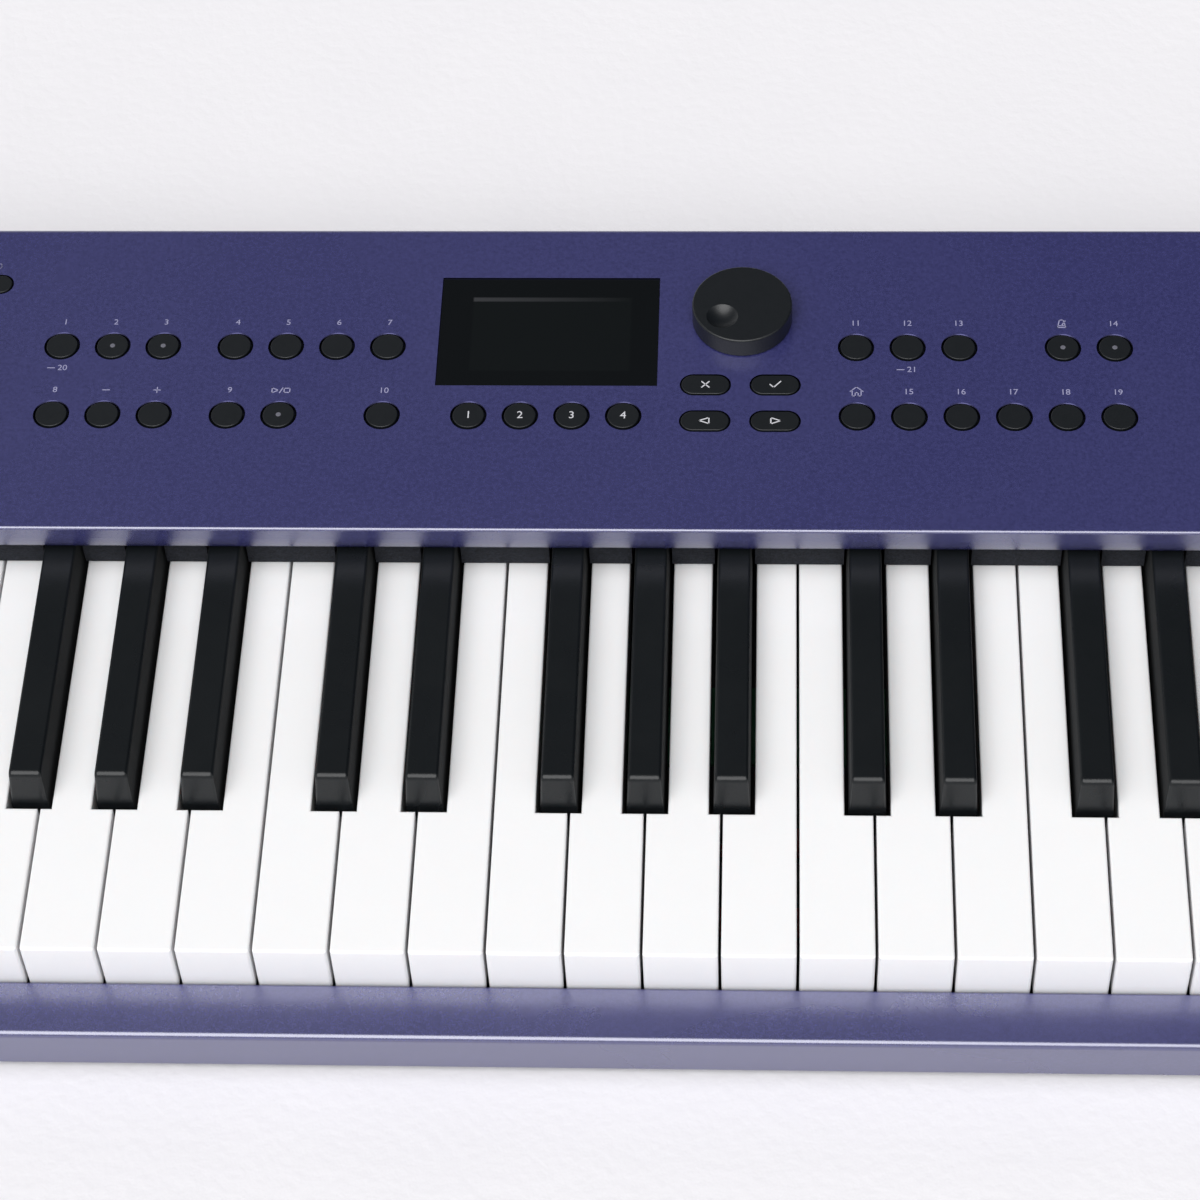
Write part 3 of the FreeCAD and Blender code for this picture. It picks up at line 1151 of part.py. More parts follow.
def make_bottom_case():
    """The floor of the case, with the battery bay, speaker slots, board posts and sunk screw holes."""
    floor_half = CASE_HALF - CASE_WALL - FLOOR_CLEARANCE
    front = front_inner_y(CASE_BOTTOM_Z) + FLOOR_CLEARANCE
    floor_z = (CASE_BOTTOM_Z, FLOOR_TOP_Z)
    plate = block((-floor_half, floor_half), (front, REAR_INNER_Y - FLOOR_CLEARANCE), floor_z)
    bay_top = FLOOR_TOP_Z + BAY_HEIGHT
    bay = block(*bay_ranges(BAY_WALL), (FLOOR_TOP_Z, bay_top + CASE_WALL))
    cuts = [block(*bay_ranges(0), (CASE_BOTTOM_Z - OVERRUN, bay_top))]
    cuts.append(block(*bay_ranges(BAY_LEDGE), (CASE_BOTTOM_Z - OVERRUN, FLOOR_TOP_Z)))
    through = (CASE_BOTTOM_Z - OVERRUN, FLOOR_TOP_Z + OVERRUN)
    for x, y, _ in boss_places():
        cuts.append(upright(SCREW_RADIUS + SCREW_CLEARANCE, x, y, through))
        sunk = (CASE_BOTTOM_Z - OVERRUN, CASE_BOTTOM_Z + SCREW_HEAD_HEIGHT + SCREW_CLEARANCE)
        cuts.append(upright(SCREW_HEAD_RADIUS + SCREW_CLEARANCE, x, y, sunk))
    whole = plate.fuse([bay] + board_posts()).cut(cuts + speaker_slots())
    export("bottom_case", whole.removeSplitter())


def make_battery_cover():
    """The cover of the battery bay, with a finger grip sunk in its underside."""
    x_range, y_range = bay_ranges(BAY_LEDGE - COVER_CLEARANCE)
    cover = block(x_range, y_range, (CASE_BOTTOM_Z, FLOOR_TOP_Z - COVER_GAP))
    grip_y = y_range[1] - 2 * COVER_GRIP_WIDTH
    grips = []
    for number in (-1, 0, 1):
        x = sum(x_range) / 2 + number * 2 * COVER_GRIP_LENGTH
        grip_z = (CASE_BOTTOM_Z - OVERRUN, CASE_BOTTOM_Z + COVER_GRIP_DEPTH)
        grips.append(pill(COVER_GRIP_LENGTH, COVER_GRIP_WIDTH, x, grip_y, grip_z))
    export("battery_cover", cover.cut(grips))


def make_battery_contacts():
    """Sprung plates at both ends of the bay, one for each cell in a row."""
    x_range, y_range = bay_ranges(0)
    contacts = []
    cell_pitch = BAY_WIDTH / CELL_COUNT
    z_middle = FLOOR_TOP_Z + BAY_HEIGHT / 2
    for number in range(CELL_COUNT):
        y = y_range[0] + (number + 0.5) * cell_pitch
        for wall_x, inward in ((x_range[0], 1), (x_range[1], -1)):
            plate_x = sorted((wall_x, wall_x + inward * CONTACT_PLATE))
            half = CONTACT_SIDE / 2
            plate = block(plate_x, around(y, half), around(z_middle, half))
            start = Vector(wall_x + inward * CONTACT_PLATE, y, z_middle)
            axis = Vector(inward, 0, 0)
            tip_radius = CONTACT_BUMP_RADIUS / 2
            bump = Part.makeCone(CONTACT_BUMP_RADIUS, tip_radius, CONTACT_BUMP_HEIGHT, start, axis)
            contacts.append(plate.fuse(bump))
    export("battery_contacts", group(contacts))


def foot_places():
    """Four feet near the corners and two in the middle of the long sides."""
    front, rear = FRONT_Y + FOOT_INSET, REAR_Y - FOOT_INSET
    end = CASE_HALF - FOOT_INSET
    return [(x, y) for x in (-end, 0, end) for y in (front, rear)]


def make_feet_and_screws():
    feet = []
    for x, y in foot_places():
        foot = upright(FOOT_RADIUS, x, y, (0, FOOT_HEIGHT))
        feet.append(foot.makeChamfer(FOOT_ROUND, edges_where(foot, level(0))))
    export("rubber_feet", group(feet))
    screws = []
    for x, y, _ in boss_places():
        head = upright(SCREW_HEAD_RADIUS, x, y, (CASE_BOTTOM_Z, CASE_BOTTOM_Z + SCREW_HEAD_HEIGHT))
        shank = upright(SCREW_RADIUS, x, y, (CASE_BOTTOM_Z, CASE_BOTTOM_Z + SCREW_LENGTH))
        slot_z = (CASE_BOTTOM_Z - OVERRUN, CASE_BOTTOM_Z + SCREW_HEAD_HEIGHT / 2)
        slots = [
            block(around(x, a), around(y, b), slot_z)
            for a, b in ((SCREW_RADIUS, SCREW_RADIUS / 4), (SCREW_RADIUS / 4, SCREW_RADIUS))
        ]
        screws.append(head.fuse(shank).removeSplitter().cut(slots))
    export("case_screws", group(screws))


# Speakers

def oval(length, width, x, y, z):
    """A closed wire with straight sides and round ends, on one level."""
    top = pill(length, width, x, y, (z, z + OVERRUN))
    flat = [face for face in top.Faces if face.BoundBox.ZLength < OVERRUN / 2]
    return next(face for face in flat if level(z)(face.CenterOfMass)).OuterWire


def make_speakers():
    """Two oval speakers that face down: basket and magnet as one piece, cone as another."""
    drivers, cones = [], []
    flange_z = (FLOOR_TOP_Z, FLOOR_TOP_Z + SPEAKER_FLANGE)
    basket_top = flange_z[1] + SPEAKER_BASKET
    neck = 2 * MAGNET_RADIUS
    inner_length, inner_width = SPEAKER_LENGTH - 2 * SPEAKER_RIM, SPEAKER_WIDTH - 2 * SPEAKER_RIM

    def funnel(shrink, top):
        low = oval(inner_length - 2 * shrink, inner_width - 2 * shrink, 0, 0, flange_z[1])
        high = oval(neck + SPEAKER_RIM - 2 * shrink, neck - 2 * shrink, 0, 0, top)
        return Part.makeLoft([low, high], True, True)

    for x, y in speaker_places():
        flange = pill(SPEAKER_LENGTH, SPEAKER_WIDTH, 0, 0, flange_z)
        mouth_size = inner_length - 2 * SPEAKER_SKIN, inner_width - 2 * SPEAKER_SKIN
        flange = flange.cut(pill(*mouth_size, 0, 0, (flange_z[0] - OVERRUN, flange_z[1] + OVERRUN)))
        basket = funnel(0, basket_top).cut(funnel(SPEAKER_SKIN, basket_top))
        magnet = upright(MAGNET_RADIUS, 0, 0, (basket_top, basket_top + MAGNET_HEIGHT))
        driver = flange.fuse([basket, magnet]).removeSplitter()
        skin = SPEAKER_SKIN + CONE_GAP
        cone_top = basket_top - CONE_GAP
        cone = funnel(skin, cone_top).cut(funnel(skin + CONE_SKIN, cone_top - CONE_SKIN))
        for solids, shape in ((drivers, driver), (cones, cone)):
            shape.translate(Vector(x, y, 0))
            solids.append(shape)
    export("speaker_drivers", group(drivers))
    export("speaker_cones", group(cones))


def main():
    os.makedirs("parts", exist_ok=True)
    make_keys()
    make_chassis()
    make_contacts()
    make_back_felt()
    make_buttons()
    make_data_dial()
    make_volume_knob()
    make_rotary_controls()
    make_wheels()
    make_wheel_bracket()
    make_panel_board()
    make_display()
    make_main_board()
    make_top_case()
    make_front_rail()
    make_end_blocks()
    make_bottom_case()
    make_battery_cover()
    make_battery_contacts()
    make_feet_and_screws()
    make_speakers()
    print("case", 2 * CASE_HALF, "by", CASE_DEPTH, "mm")
    for name, angle in (("white", WHITE_DIP_ANGLE), ("black", BLACK_DIP_ANGLE)):
        print(name, "keys turn by", round(math.degrees(angle), 3), "degrees")
    print("pivot", PIVOT_Y, PIVOT_Z, "wheels", WHEELS_X, WHEEL_Y, WHEEL_Z, "knobs", KNOBS)
    print("jacks", connector_x("pedal"), connector_x("phones"), CONNECTOR_Z, "feet", foot_places())


main()
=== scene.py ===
# %% [markdown]
# # An arranger keyboard, dressed for its portrait
#
# The construction arrives finished: a folder of measured solids, packed as a frame. This lesson gives those
# solids their finishes, prints the marks on the panel, adds the small pieces that are only there to be
# seen, and sets up a camera and a light like the ones of the product photograph.
#
# Nothing here moves or resizes a solid. A new piece takes its place from the box of the solid that carries
# it, and it rides on that solid's body, so that it follows when a button goes down.

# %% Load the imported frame
import bpy
import json
import math
from mathutils import Matrix, Vector

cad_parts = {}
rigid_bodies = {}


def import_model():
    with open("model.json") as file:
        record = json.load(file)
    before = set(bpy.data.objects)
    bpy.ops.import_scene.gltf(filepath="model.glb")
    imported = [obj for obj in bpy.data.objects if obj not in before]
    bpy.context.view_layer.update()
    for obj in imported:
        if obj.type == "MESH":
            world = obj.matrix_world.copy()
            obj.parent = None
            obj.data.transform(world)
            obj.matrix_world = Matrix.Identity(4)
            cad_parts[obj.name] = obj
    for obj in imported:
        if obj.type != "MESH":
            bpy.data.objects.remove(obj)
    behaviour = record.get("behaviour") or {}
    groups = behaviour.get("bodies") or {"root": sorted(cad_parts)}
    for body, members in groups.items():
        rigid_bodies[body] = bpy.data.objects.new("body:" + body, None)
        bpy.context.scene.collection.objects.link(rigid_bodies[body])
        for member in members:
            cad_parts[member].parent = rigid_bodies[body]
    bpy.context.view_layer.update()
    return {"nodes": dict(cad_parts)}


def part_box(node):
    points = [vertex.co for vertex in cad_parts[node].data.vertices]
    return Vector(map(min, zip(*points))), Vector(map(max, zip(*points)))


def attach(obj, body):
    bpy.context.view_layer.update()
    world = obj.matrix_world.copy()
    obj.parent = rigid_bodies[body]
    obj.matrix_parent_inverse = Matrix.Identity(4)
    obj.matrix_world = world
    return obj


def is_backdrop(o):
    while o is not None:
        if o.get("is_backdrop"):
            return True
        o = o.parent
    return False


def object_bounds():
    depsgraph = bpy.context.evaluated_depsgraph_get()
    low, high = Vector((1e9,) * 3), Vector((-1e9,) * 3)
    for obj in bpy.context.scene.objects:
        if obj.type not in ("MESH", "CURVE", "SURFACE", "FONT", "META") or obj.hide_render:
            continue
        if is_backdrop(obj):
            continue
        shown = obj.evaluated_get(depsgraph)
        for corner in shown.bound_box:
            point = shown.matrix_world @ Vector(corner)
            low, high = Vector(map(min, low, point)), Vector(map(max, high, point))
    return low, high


for leftover in list(bpy.data.objects):
    bpy.data.objects.remove(leftover)
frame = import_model()
nodes = frame["nodes"]
MM = 0.001

# %% [markdown]
# ## The camera
#
# A photograph fixes where the lens stood, how it was turned and how far it was zoomed in. The white keys
# are a ruler with even marks, so the numbers below were found by laying the known key pitch over the
# photograph. The lens is a short telephoto, which is why the keys hardly fan out, and the camera was held a
# little askew, which is the roll.
#
# A camera looks along its own -Z with +Y up. Three stacked rotations could turn it, but it is easier to
# follow when its three axes are worked out one by one and written into the columns of a matrix.

# %% Place the camera
CAMERA_PLACE = Vector((60.8, -676.1, 955.2)) * MM
CAMERA_YAW = math.radians(-4.51)
CAMERA_PITCH = math.radians(53.01)
CAMERA_ROLL = math.radians(3.3)
SENSOR_WIDTH = 36.0
LENS = 106.14


def heading(side, height):
    """The direction that points away at an angle from +Y and an angle above the floor."""
    return Vector((math.sin(side) * math.cos(height), math.cos(side) * math.cos(height), math.sin(height)))


ahead = heading(CAMERA_YAW, -CAMERA_PITCH)
level_right = Vector((math.cos(CAMERA_YAW), -math.sin(CAMERA_YAW), 0))
level_up = level_right.cross(ahead)
camera_right = level_right * math.cos(CAMERA_ROLL) - level_up * math.sin(CAMERA_ROLL)
camera_up = level_up * math.cos(CAMERA_ROLL) + level_right * math.sin(CAMERA_ROLL)
turn = Matrix((camera_right, camera_up, -ahead)).transposed().to_4x4()

optics = bpy.data.cameras.new("portrait_lens")
optics.sensor_width = SENSOR_WIDTH
optics.lens = LENS
camera = bpy.data.objects.new("portrait_camera", optics)
camera.matrix_world = Matrix.Translation(CAMERA_PLACE) @ turn
bpy.context.scene.collection.objects.link(camera)
bpy.context.scene.camera = camera
bpy.context.scene.view_settings.view_transform = "Standard"
print("camera", round(CAMERA_PLACE.length, 3), "m from the keyboard's middle")

# %% [markdown]
# ## The light
#
# The photograph tells where its light came from. The rounded front edges carry a bright line, the floor
# right in front of the case has no shadow, and the fronts of the keys are only a little darker than their
# tops: so one broad soft light stood high up behind the photographer, a little to the left.
#
# An area lamp would do, but it falls off over a wide floor. A sun lamp with a wide angle gives the same
# soft shadows and one level everywhere.

# %% Light the set
LIGHT_HEIGHT = math.radians(62)
LIGHT_SIDE = math.radians(198)
LIGHT_SPREAD = math.radians(60)
LIGHT_STRENGTH = 2.74

soft_light = bpy.data.lights.new("soft_light", "SUN")
soft_light.energy = LIGHT_STRENGTH
soft_light.angle = LIGHT_SPREAD
lamp = bpy.data.objects.new("soft_light", soft_light)
towards_lamp = heading(LIGHT_SIDE, LIGHT_HEIGHT)
lamp.rotation_euler = towards_lamp.to_track_quat("Z", "Y").to_euler()
bpy.context.scene.collection.objects.link(lamp)
print("light from", [round(v, 2) for v in towards_lamp])

# %% [markdown]
# ## Helpers for node trees
#
# Finishes, shared groups and the room are all trees of nodes. A few helpers keep them readable: each one
# adds nodes of one kind, sets their values or links, and hands back the output that the next step needs.

# %% Helpers: nodes, values and links
def feed(tree, socket, value):
    """Links an output to a socket, or sets the socket's own value."""
    if isinstance(value, bpy.types.NodeSocket):
        tree.links.new(value, socket)
    else:
        socket.default_value = value


def put(tree, kind, values=None, **settings):
    """Adds a node with its own settings, and feeds its inputs."""
    node = tree.nodes.new(kind)
    for name, setting in settings.items():
        setattr(node, name, setting)
    for name, value in (values or {}).items():
        feed(tree, node.inputs[name], value)
    return node


def place_axes(tree, output="Object"):
    """X, Y and Z of the place, or of the normal, on the piece itself."""
    vector = put(tree, "ShaderNodeTexCoord").outputs[output]
    return put(tree, "ShaderNodeSeparateXYZ", {"Vector": vector}).outputs


def maths(tree, operation, first, second=0.0, clamp=False):
    """One step of arithmetic on two values."""
    node = put(tree, "ShaderNodeMath", operation=operation, use_clamp=clamp)
    feed(tree, node.inputs[0], first)
    feed(tree, node.inputs[1], second)
    return node.outputs["Value"]


def spread(tree, value, low, high, first=0.0, last=1.0):
    """Maps the range from first to last onto the range from low to high."""
    return put(tree, "ShaderNodeMapRange", {
        "Value": value, "From Min": first, "From Max": last, "To Min": low, "To Max": high}).outputs["Result"]


def blend(tree, factor, first, second):
    """A colour between two others, each written as three numbers or linked."""
    mix = put(tree, "ShaderNodeMix", {"Factor": factor}, data_type="RGBA")
    for name, colour in (("A", first), ("B", second)):
        feed(tree, mix.inputs[name], colour if isinstance(colour, bpy.types.NodeSocket) else (*colour, 1))
    return mix.outputs["Result"]


def relief(tree, height, strength, depth):
    """A shading normal that follows a height."""
    bump = put(tree, "ShaderNodeBump", {"Height": height, "Strength": strength, "Distance": depth})
    return bump.outputs["Normal"]


print("helpers for nodes defined")

# %% [markdown]
# ## The room
#
# A glossy panel shows the room, so the room has to be right too. This panel, which mirrors what is high up
# behind the keyboard, is dark and gets darker towards the right: so nothing bright stood there. In front,
# on the photographer's side, the room is bright.
#
# Walls could be built, but the world is enough. Two ramps over the height of a direction give its two
# halves, the rear half is dimmed from left to right, and the direction's Y blends the halves.

# %% Shade the room
REAR_STOPS = ((0, 0.80), (0.20, 0.74), (0.42, 0.16), (0.70, 0.07), (0.84, 0.10), (0.95, 0.34), (1, 0.50))
FRONT_STOPS = ((0, 0.80), (0.05, 0.72), (0.12, 0.46), (0.30, 0.50), (0.70, 0.78), (1, 0.62))
FRONT_BEGINS, FRONT_FULL = -0.05, -0.35
LEFT_SHARE, RIGHT_SHARE, SIDE_REACH = 1.3, 0.0, 0.35


def shade_ramp(tree, value, stops):
    """A grey that follows a value through stops of a place and a shade."""
    ramp = put(tree, "ShaderNodeValToRGB", {"Fac": value})
    steps = ramp.color_ramp.elements
    while len(steps) < len(stops):
        steps.new(1.0)
    for step, (place, shade) in zip(steps, stops):
        step.position = place
        step.color = (shade, shade, shade, 1)
    return ramp.outputs["Color"]


world = bpy.data.worlds.new("studio")
bpy.context.scene.world = world
world.use_nodes = True
sky = world.node_tree
axes = place_axes(sky, "Generated")
falling = spread(sky, axes["X"], LEFT_SHARE, RIGHT_SHARE, -SIDE_REACH, SIDE_REACH)
rear = put(sky, "ShaderNodeVectorMath", {
    "Vector": shade_ramp(sky, axes["Z"], REAR_STOPS), "Scale": falling}, operation="SCALE").outputs["Vector"]
front = shade_ramp(sky, axes["Z"], FRONT_STOPS)
towards_front = spread(sky, axes["Y"], 0.0, 1.0, FRONT_BEGINS, FRONT_FULL)
feed(sky, sky.nodes["Background"].inputs["Color"], blend(sky, towards_front, rear, front))
print("room shaded with", len(sky.nodes), "nodes")

# %% [markdown]
# ## Finishes and what they share
#
# A finish is a material that ends in one Principled BSDF. What several finishes share, such as the fine
# grain of moulded plastic, is a node group: it is built once, has named inputs, and each finish sets its
# own values.

# %% Helpers: finishes and groups
def start_finish(name):
    """A new material, and the tree inside it."""
    finish = bpy.data.materials.new(name)
    finish.use_nodes = True
    return finish, finish.node_tree


def set_shader(tree, values):
    """Sets or links inputs of a finish's shader."""
    for name, value in values.items():
        feed(tree, tree.nodes["Principled BSDF"].inputs[name], value)


def start_group(name, inputs, outputs):
    """A new shader group with float inputs and outputs, and the sockets of its two ends."""
    group = bpy.data.node_groups.new(name, "ShaderNodeTree")
    for socket, value in inputs.items():
        made = group.interface.new_socket(socket, in_out="INPUT", socket_type="NodeSocketFloat")
        made.default_value = value
    for socket in outputs:
        group.interface.new_socket(socket, in_out="OUTPUT", socket_type="NodeSocketFloat")
    return group, group.nodes.new("NodeGroupInput").outputs, group.nodes.new("NodeGroupOutput").inputs


def use_group(tree, group, **values):
    """Places a group in a finish with its own values, and returns its outputs."""
    return put(tree, "ShaderNodeGroup", values, node_tree=group).outputs


print("helpers for finishes defined")

# %% [markdown]
# ### Grain
#
# Moulded plastic is never quite smooth: the mould is etched, and paint flows into a fine orange peel. A
# picture of a surface could be tiled over the part, but it would repeat. Two noises over the place on the
# piece don't: a fine one for the relief, and its mean with a coarser one for the tone.

# %% Group: fine_grain
FINE_DETAIL, COARSE_DETAIL = 2.0, 3.0
fine_grain, given, result = start_group("fine_grain", {"Scale": 2000, "Coarse": 300}, ("Height", "Tone"))
place = put(fine_grain, "ShaderNodeTexCoord").outputs["Object"]
fine = put(fine_grain, "ShaderNodeTexNoise", {
    "Vector": place, "Scale": given["Scale"], "Detail": FINE_DETAIL}).outputs["Fac"]
coarse = put(fine_grain, "ShaderNodeTexNoise", {
    "Vector": place, "Scale": given["Coarse"], "Detail": COARSE_DETAIL}).outputs["Fac"]
both = maths(fine_grain, "ADD", fine, coarse)
feed(fine_grain, result["Height"], fine)
feed(fine_grain, result["Tone"], maths(fine_grain, "DIVIDE", both, 2.0))
print("group", fine_grain.name, "with", len(fine_grain.nodes), "nodes")

# %% [markdown]
# ### Handling
#
# Hands leave faint smudges, which show as patches of another gloss and hardly as another colour. A large
# noise with some distortion, cut off at both ends, gives patches with soft borders.

# %% Group: handling
PATCH_FROM, PATCH_TO = 0.38, 0.66
PATCH_DETAIL, PATCH_TWIST = 5.0, 0.6
handling, given, result = start_group("handling", {"Scale": 14}, ("Smudge",))
place = put(handling, "ShaderNodeTexCoord").outputs["Object"]
cloud = put(handling, "ShaderNodeTexNoise", {
    "Vector": place, "Scale": given["Scale"], "Detail": PATCH_DETAIL, "Distortion": PATCH_TWIST})
feed(handling, result["Smudge"], spread(handling, cloud.outputs["Fac"], 0.0, 1.0, PATCH_FROM, PATCH_TO))
print("group", handling.name, "with", len(handling.nodes), "nodes")

# %% [markdown]
# ### Places
#
# Some surfaces change their look along a border although they are one solid: the display glass is clear
# over the display and blackened from behind round it, and the data sockets are metal inside black plastic.
# The solid could be split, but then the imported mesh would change. Instead a group answers one question,
# whether a point lies inside a given box, with a soft edge.

# %% Group: inside_box
ANY_HEIGHT = 1.0
SOFT_EDGE = 0.2 * MM
inside_box, given, result = start_group(
    "inside_box",
    {"Left": 0, "Right": 0, "Front": 0, "Back": 0, "Low": -ANY_HEIGHT, "High": ANY_HEIGHT, "Edge": SOFT_EDGE},
    ("Mask",))
axes = place_axes(inside_box)
mask = 1.0
for axis, near, far in (("X", "Left", "Right"), ("Y", "Front", "Back"), ("Z", "Low", "High")):
    for first, second in ((axes[axis], given[near]), (given[far], axes[axis])):
        depth = maths(inside_box, "SUBTRACT", first, second)
        soft = maths(inside_box, "DIVIDE", depth, given["Edge"], clamp=True)
        mask = maths(inside_box, "MULTIPLY", soft, mask)
feed(inside_box, result["Mask"], mask)
print("group", inside_box.name, "with", len(inside_box.nodes), "nodes")

# %% [markdown]
# ## The floor
#
# The keyboard lies on a pale sheet, much larger than the picture. It is stage, not part of the object. A
# faint cloud in its colour and a shallow relief keep it from looking like a flat backdrop.

# %% Lay the floor
FLOOR_SIZE = 60.0
FLOOR_RELIEF = 2.0 * MM
FLOOR_COLOURS = ((0.814, 0.801, 0.828), (0.824, 0.811, 0.837))
bpy.ops.object.select_all(action="DESELECT")
bpy.ops.mesh.primitive_plane_add(size=FLOOR_SIZE)
floor = bpy.context.active_object
floor.name = "floor"
pale_floor, tree = start_finish("pale_floor")
smudge = use_group(tree, handling, Scale=14.0)["Smudge"]
grain = use_group(tree, fine_grain, Scale=250.0, Coarse=40.0)
set_shader(tree, {
    "Base Color": blend(tree, smudge, *FLOOR_COLOURS),
    "Roughness": 0.9,
    "Normal": relief(tree, grain["Tone"], strength=0.25, depth=FLOOR_RELIEF),
})
floor.data.materials.append(pale_floor)
floor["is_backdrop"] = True
print("floor", FLOOR_SIZE, "m across")

# %% [markdown]
# ## Blue lacquer of the case
#
# The case is a deep violet blue with a pearl lacquer. It mirrors far more than plain plastic does: the
# white keys show in the lip above them and in the rail before them, about a fifth as bright as they are.
# Metal paint would tint the mirror image too much. A dielectric with a high index of refraction gives that
# share of mirror at every angle, and a roughness of about a quarter gives the soft edges of those
# reflections. The pearl flakes are a speckle: the grain's tone with its contrast raised.
#
# Lacquer flows away from a sharp rim. Round the holes of the panel it is thin and hardly mirrors, so the
# rims must not flash like the lip's round edge does. The index of refraction is one number for a whole
# finish. A dark metal mirrors only as much as its colour says, so that is what the finish turns into where
# the panel's surface tilts.

# %% Finish: case_blue
GRAIN_DEPTH = 0.2 * MM
PANEL_MARGIN = 8.0 * MM
RIM_DEPTH = 2.0 * MM
RIM_FROM, RIM_TO = 0.96, 0.85
RIM_COLOUR = (0.045, 0.045, 0.10)
LACQUER_COLOURS = ((0.018, 0.019, 0.097), (0.044, 0.045, 0.170))
FLAKE_RANGE = (-1.0, 2.0)
MIRROR_TINT = (0.92, 0.92, 1.0, 1.0)
low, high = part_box("top_case")
case_blue, tree = start_finish("case_blue_lacquer")
grain = use_group(tree, fine_grain, Scale=2600.0, Coarse=800.0)
speckle = spread(tree, grain["Tone"], *FLAKE_RANGE)
smudge = use_group(tree, handling, Scale=9.0)["Smudge"]
on_panel = use_group(
    tree, inside_box, Left=low.x + PANEL_MARGIN, Right=high.x - PANEL_MARGIN, Front=low.y + PANEL_MARGIN,
    Back=high.y - PANEL_MARGIN, Low=high.z - RIM_DEPTH)["Mask"]
tilted = spread(tree, place_axes(tree, "Normal")["Z"], 0.0, 1.0, RIM_FROM, RIM_TO)
rim = maths(tree, "MULTIPLY", on_panel, tilted)
lacquer = blend(tree, speckle, *LACQUER_COLOURS)
set_shader(tree, {
    "Base Color": blend(tree, rim, lacquer, RIM_COLOUR),
    "Metallic": rim,
    "Roughness": spread(tree, smudge, 0.25, 0.29),
    "IOR": 2.5,
    "Specular Tint": MIRROR_TINT,
    "Normal": relief(tree, grain["Height"], strength=0.06, depth=GRAIN_DEPTH),
})
print("finish", case_blue.name)

# %% [markdown]
# ## White and black keys
#
# White keys are polished, slightly translucent plastic: light that enters near an edge spreads a little
# before it comes out, so the edges along the gaps look soft. Subsurface scattering with a reach of about
# two millimetres does that.
#
# Black keys leave the mould matte. Fingers polish the top, the nose and the edges, while the flanks keep
# their texture. The side part of the normal tells flanks from the rest, so it raises the roughness there.

# %% Finishes: white_key and black_key
LIGHT_REACH = 2.0 * MM
FLANK_FROM, FLANK_TO = 0.75, 0.95
FLANK_ROUGHER = 0.65
WHITE_COLOURS = ((0.895, 0.890, 0.900), (0.925, 0.920, 0.930))
BLACK_COLOURS = ((0.005, 0.0065, 0.008), (0.008, 0.0095, 0.011))
white_key, tree = start_finish("white_key_gloss")
grain = use_group(tree, fine_grain, Scale=900.0, Coarse=60.0)
smudge = use_group(tree, handling, Scale=30.0)["Smudge"]
set_shader(tree, {
    "Base Color": blend(tree, grain["Tone"], *WHITE_COLOURS),
    "Roughness": spread(tree, smudge, 0.22, 0.26),
    "Subsurface Weight": 0.25,
    "Subsurface Radius": (1.0, 0.85, 0.8),
    "Subsurface Scale": LIGHT_REACH,
})

black_key, tree = start_finish("black_key_polished")
grain = use_group(tree, fine_grain, Scale=1800.0, Coarse=240.0)
smudge = use_group(tree, handling, Scale=40.0)["Smudge"]
sideways = maths(tree, "ABSOLUTE", place_axes(tree, "Normal")["X"])
flank = spread(tree, sideways, 0.0, FLANK_ROUGHER, FLANK_FROM, FLANK_TO)
set_shader(tree, {
    "Base Color": blend(tree, grain["Tone"], *BLACK_COLOURS),
    "Roughness": maths(tree, "ADD", spread(tree, smudge, 0.27, 0.33), flank),
    "Specular IOR Level": 0.36,
    "Normal": relief(tree, grain["Height"], strength=0.2, depth=GRAIN_DEPTH),
})
print("finishes", white_key.name, black_key.name)

# %% [markdown]
# ## Plain mouldings and metals
#
# Most of the other materials differ in a few numbers only: two colours that the grain wavers between, a
# range of roughness, and how coarse and deep the grain is. They could be built one by one, but a function
# that makes such a finish from one row of a table is shorter and easier to tune.

# %% Plain finishes from a table
COARSE_SHARE = 0.2


def moulded(name, dark, pale, roughness, grain_scale, strength, metal=0.0):
    """A finish whose colour, gloss and relief follow the shared grain."""
    finish, tree = start_finish(name)
    grain = use_group(tree, fine_grain, Scale=grain_scale, Coarse=grain_scale * COARSE_SHARE)
    set_shader(tree, {
        "Base Color": blend(tree, grain["Tone"], dark, pale),
        "Roughness": spread(tree, grain["Tone"], *roughness),
        "Metallic": metal,
        "Normal": relief(tree, grain["Height"], strength, GRAIN_DEPTH),
    })
    return finish


def grey(shade, blue=0.0):
    """A grey with a little more blue."""
    return shade, shade, shade + blue


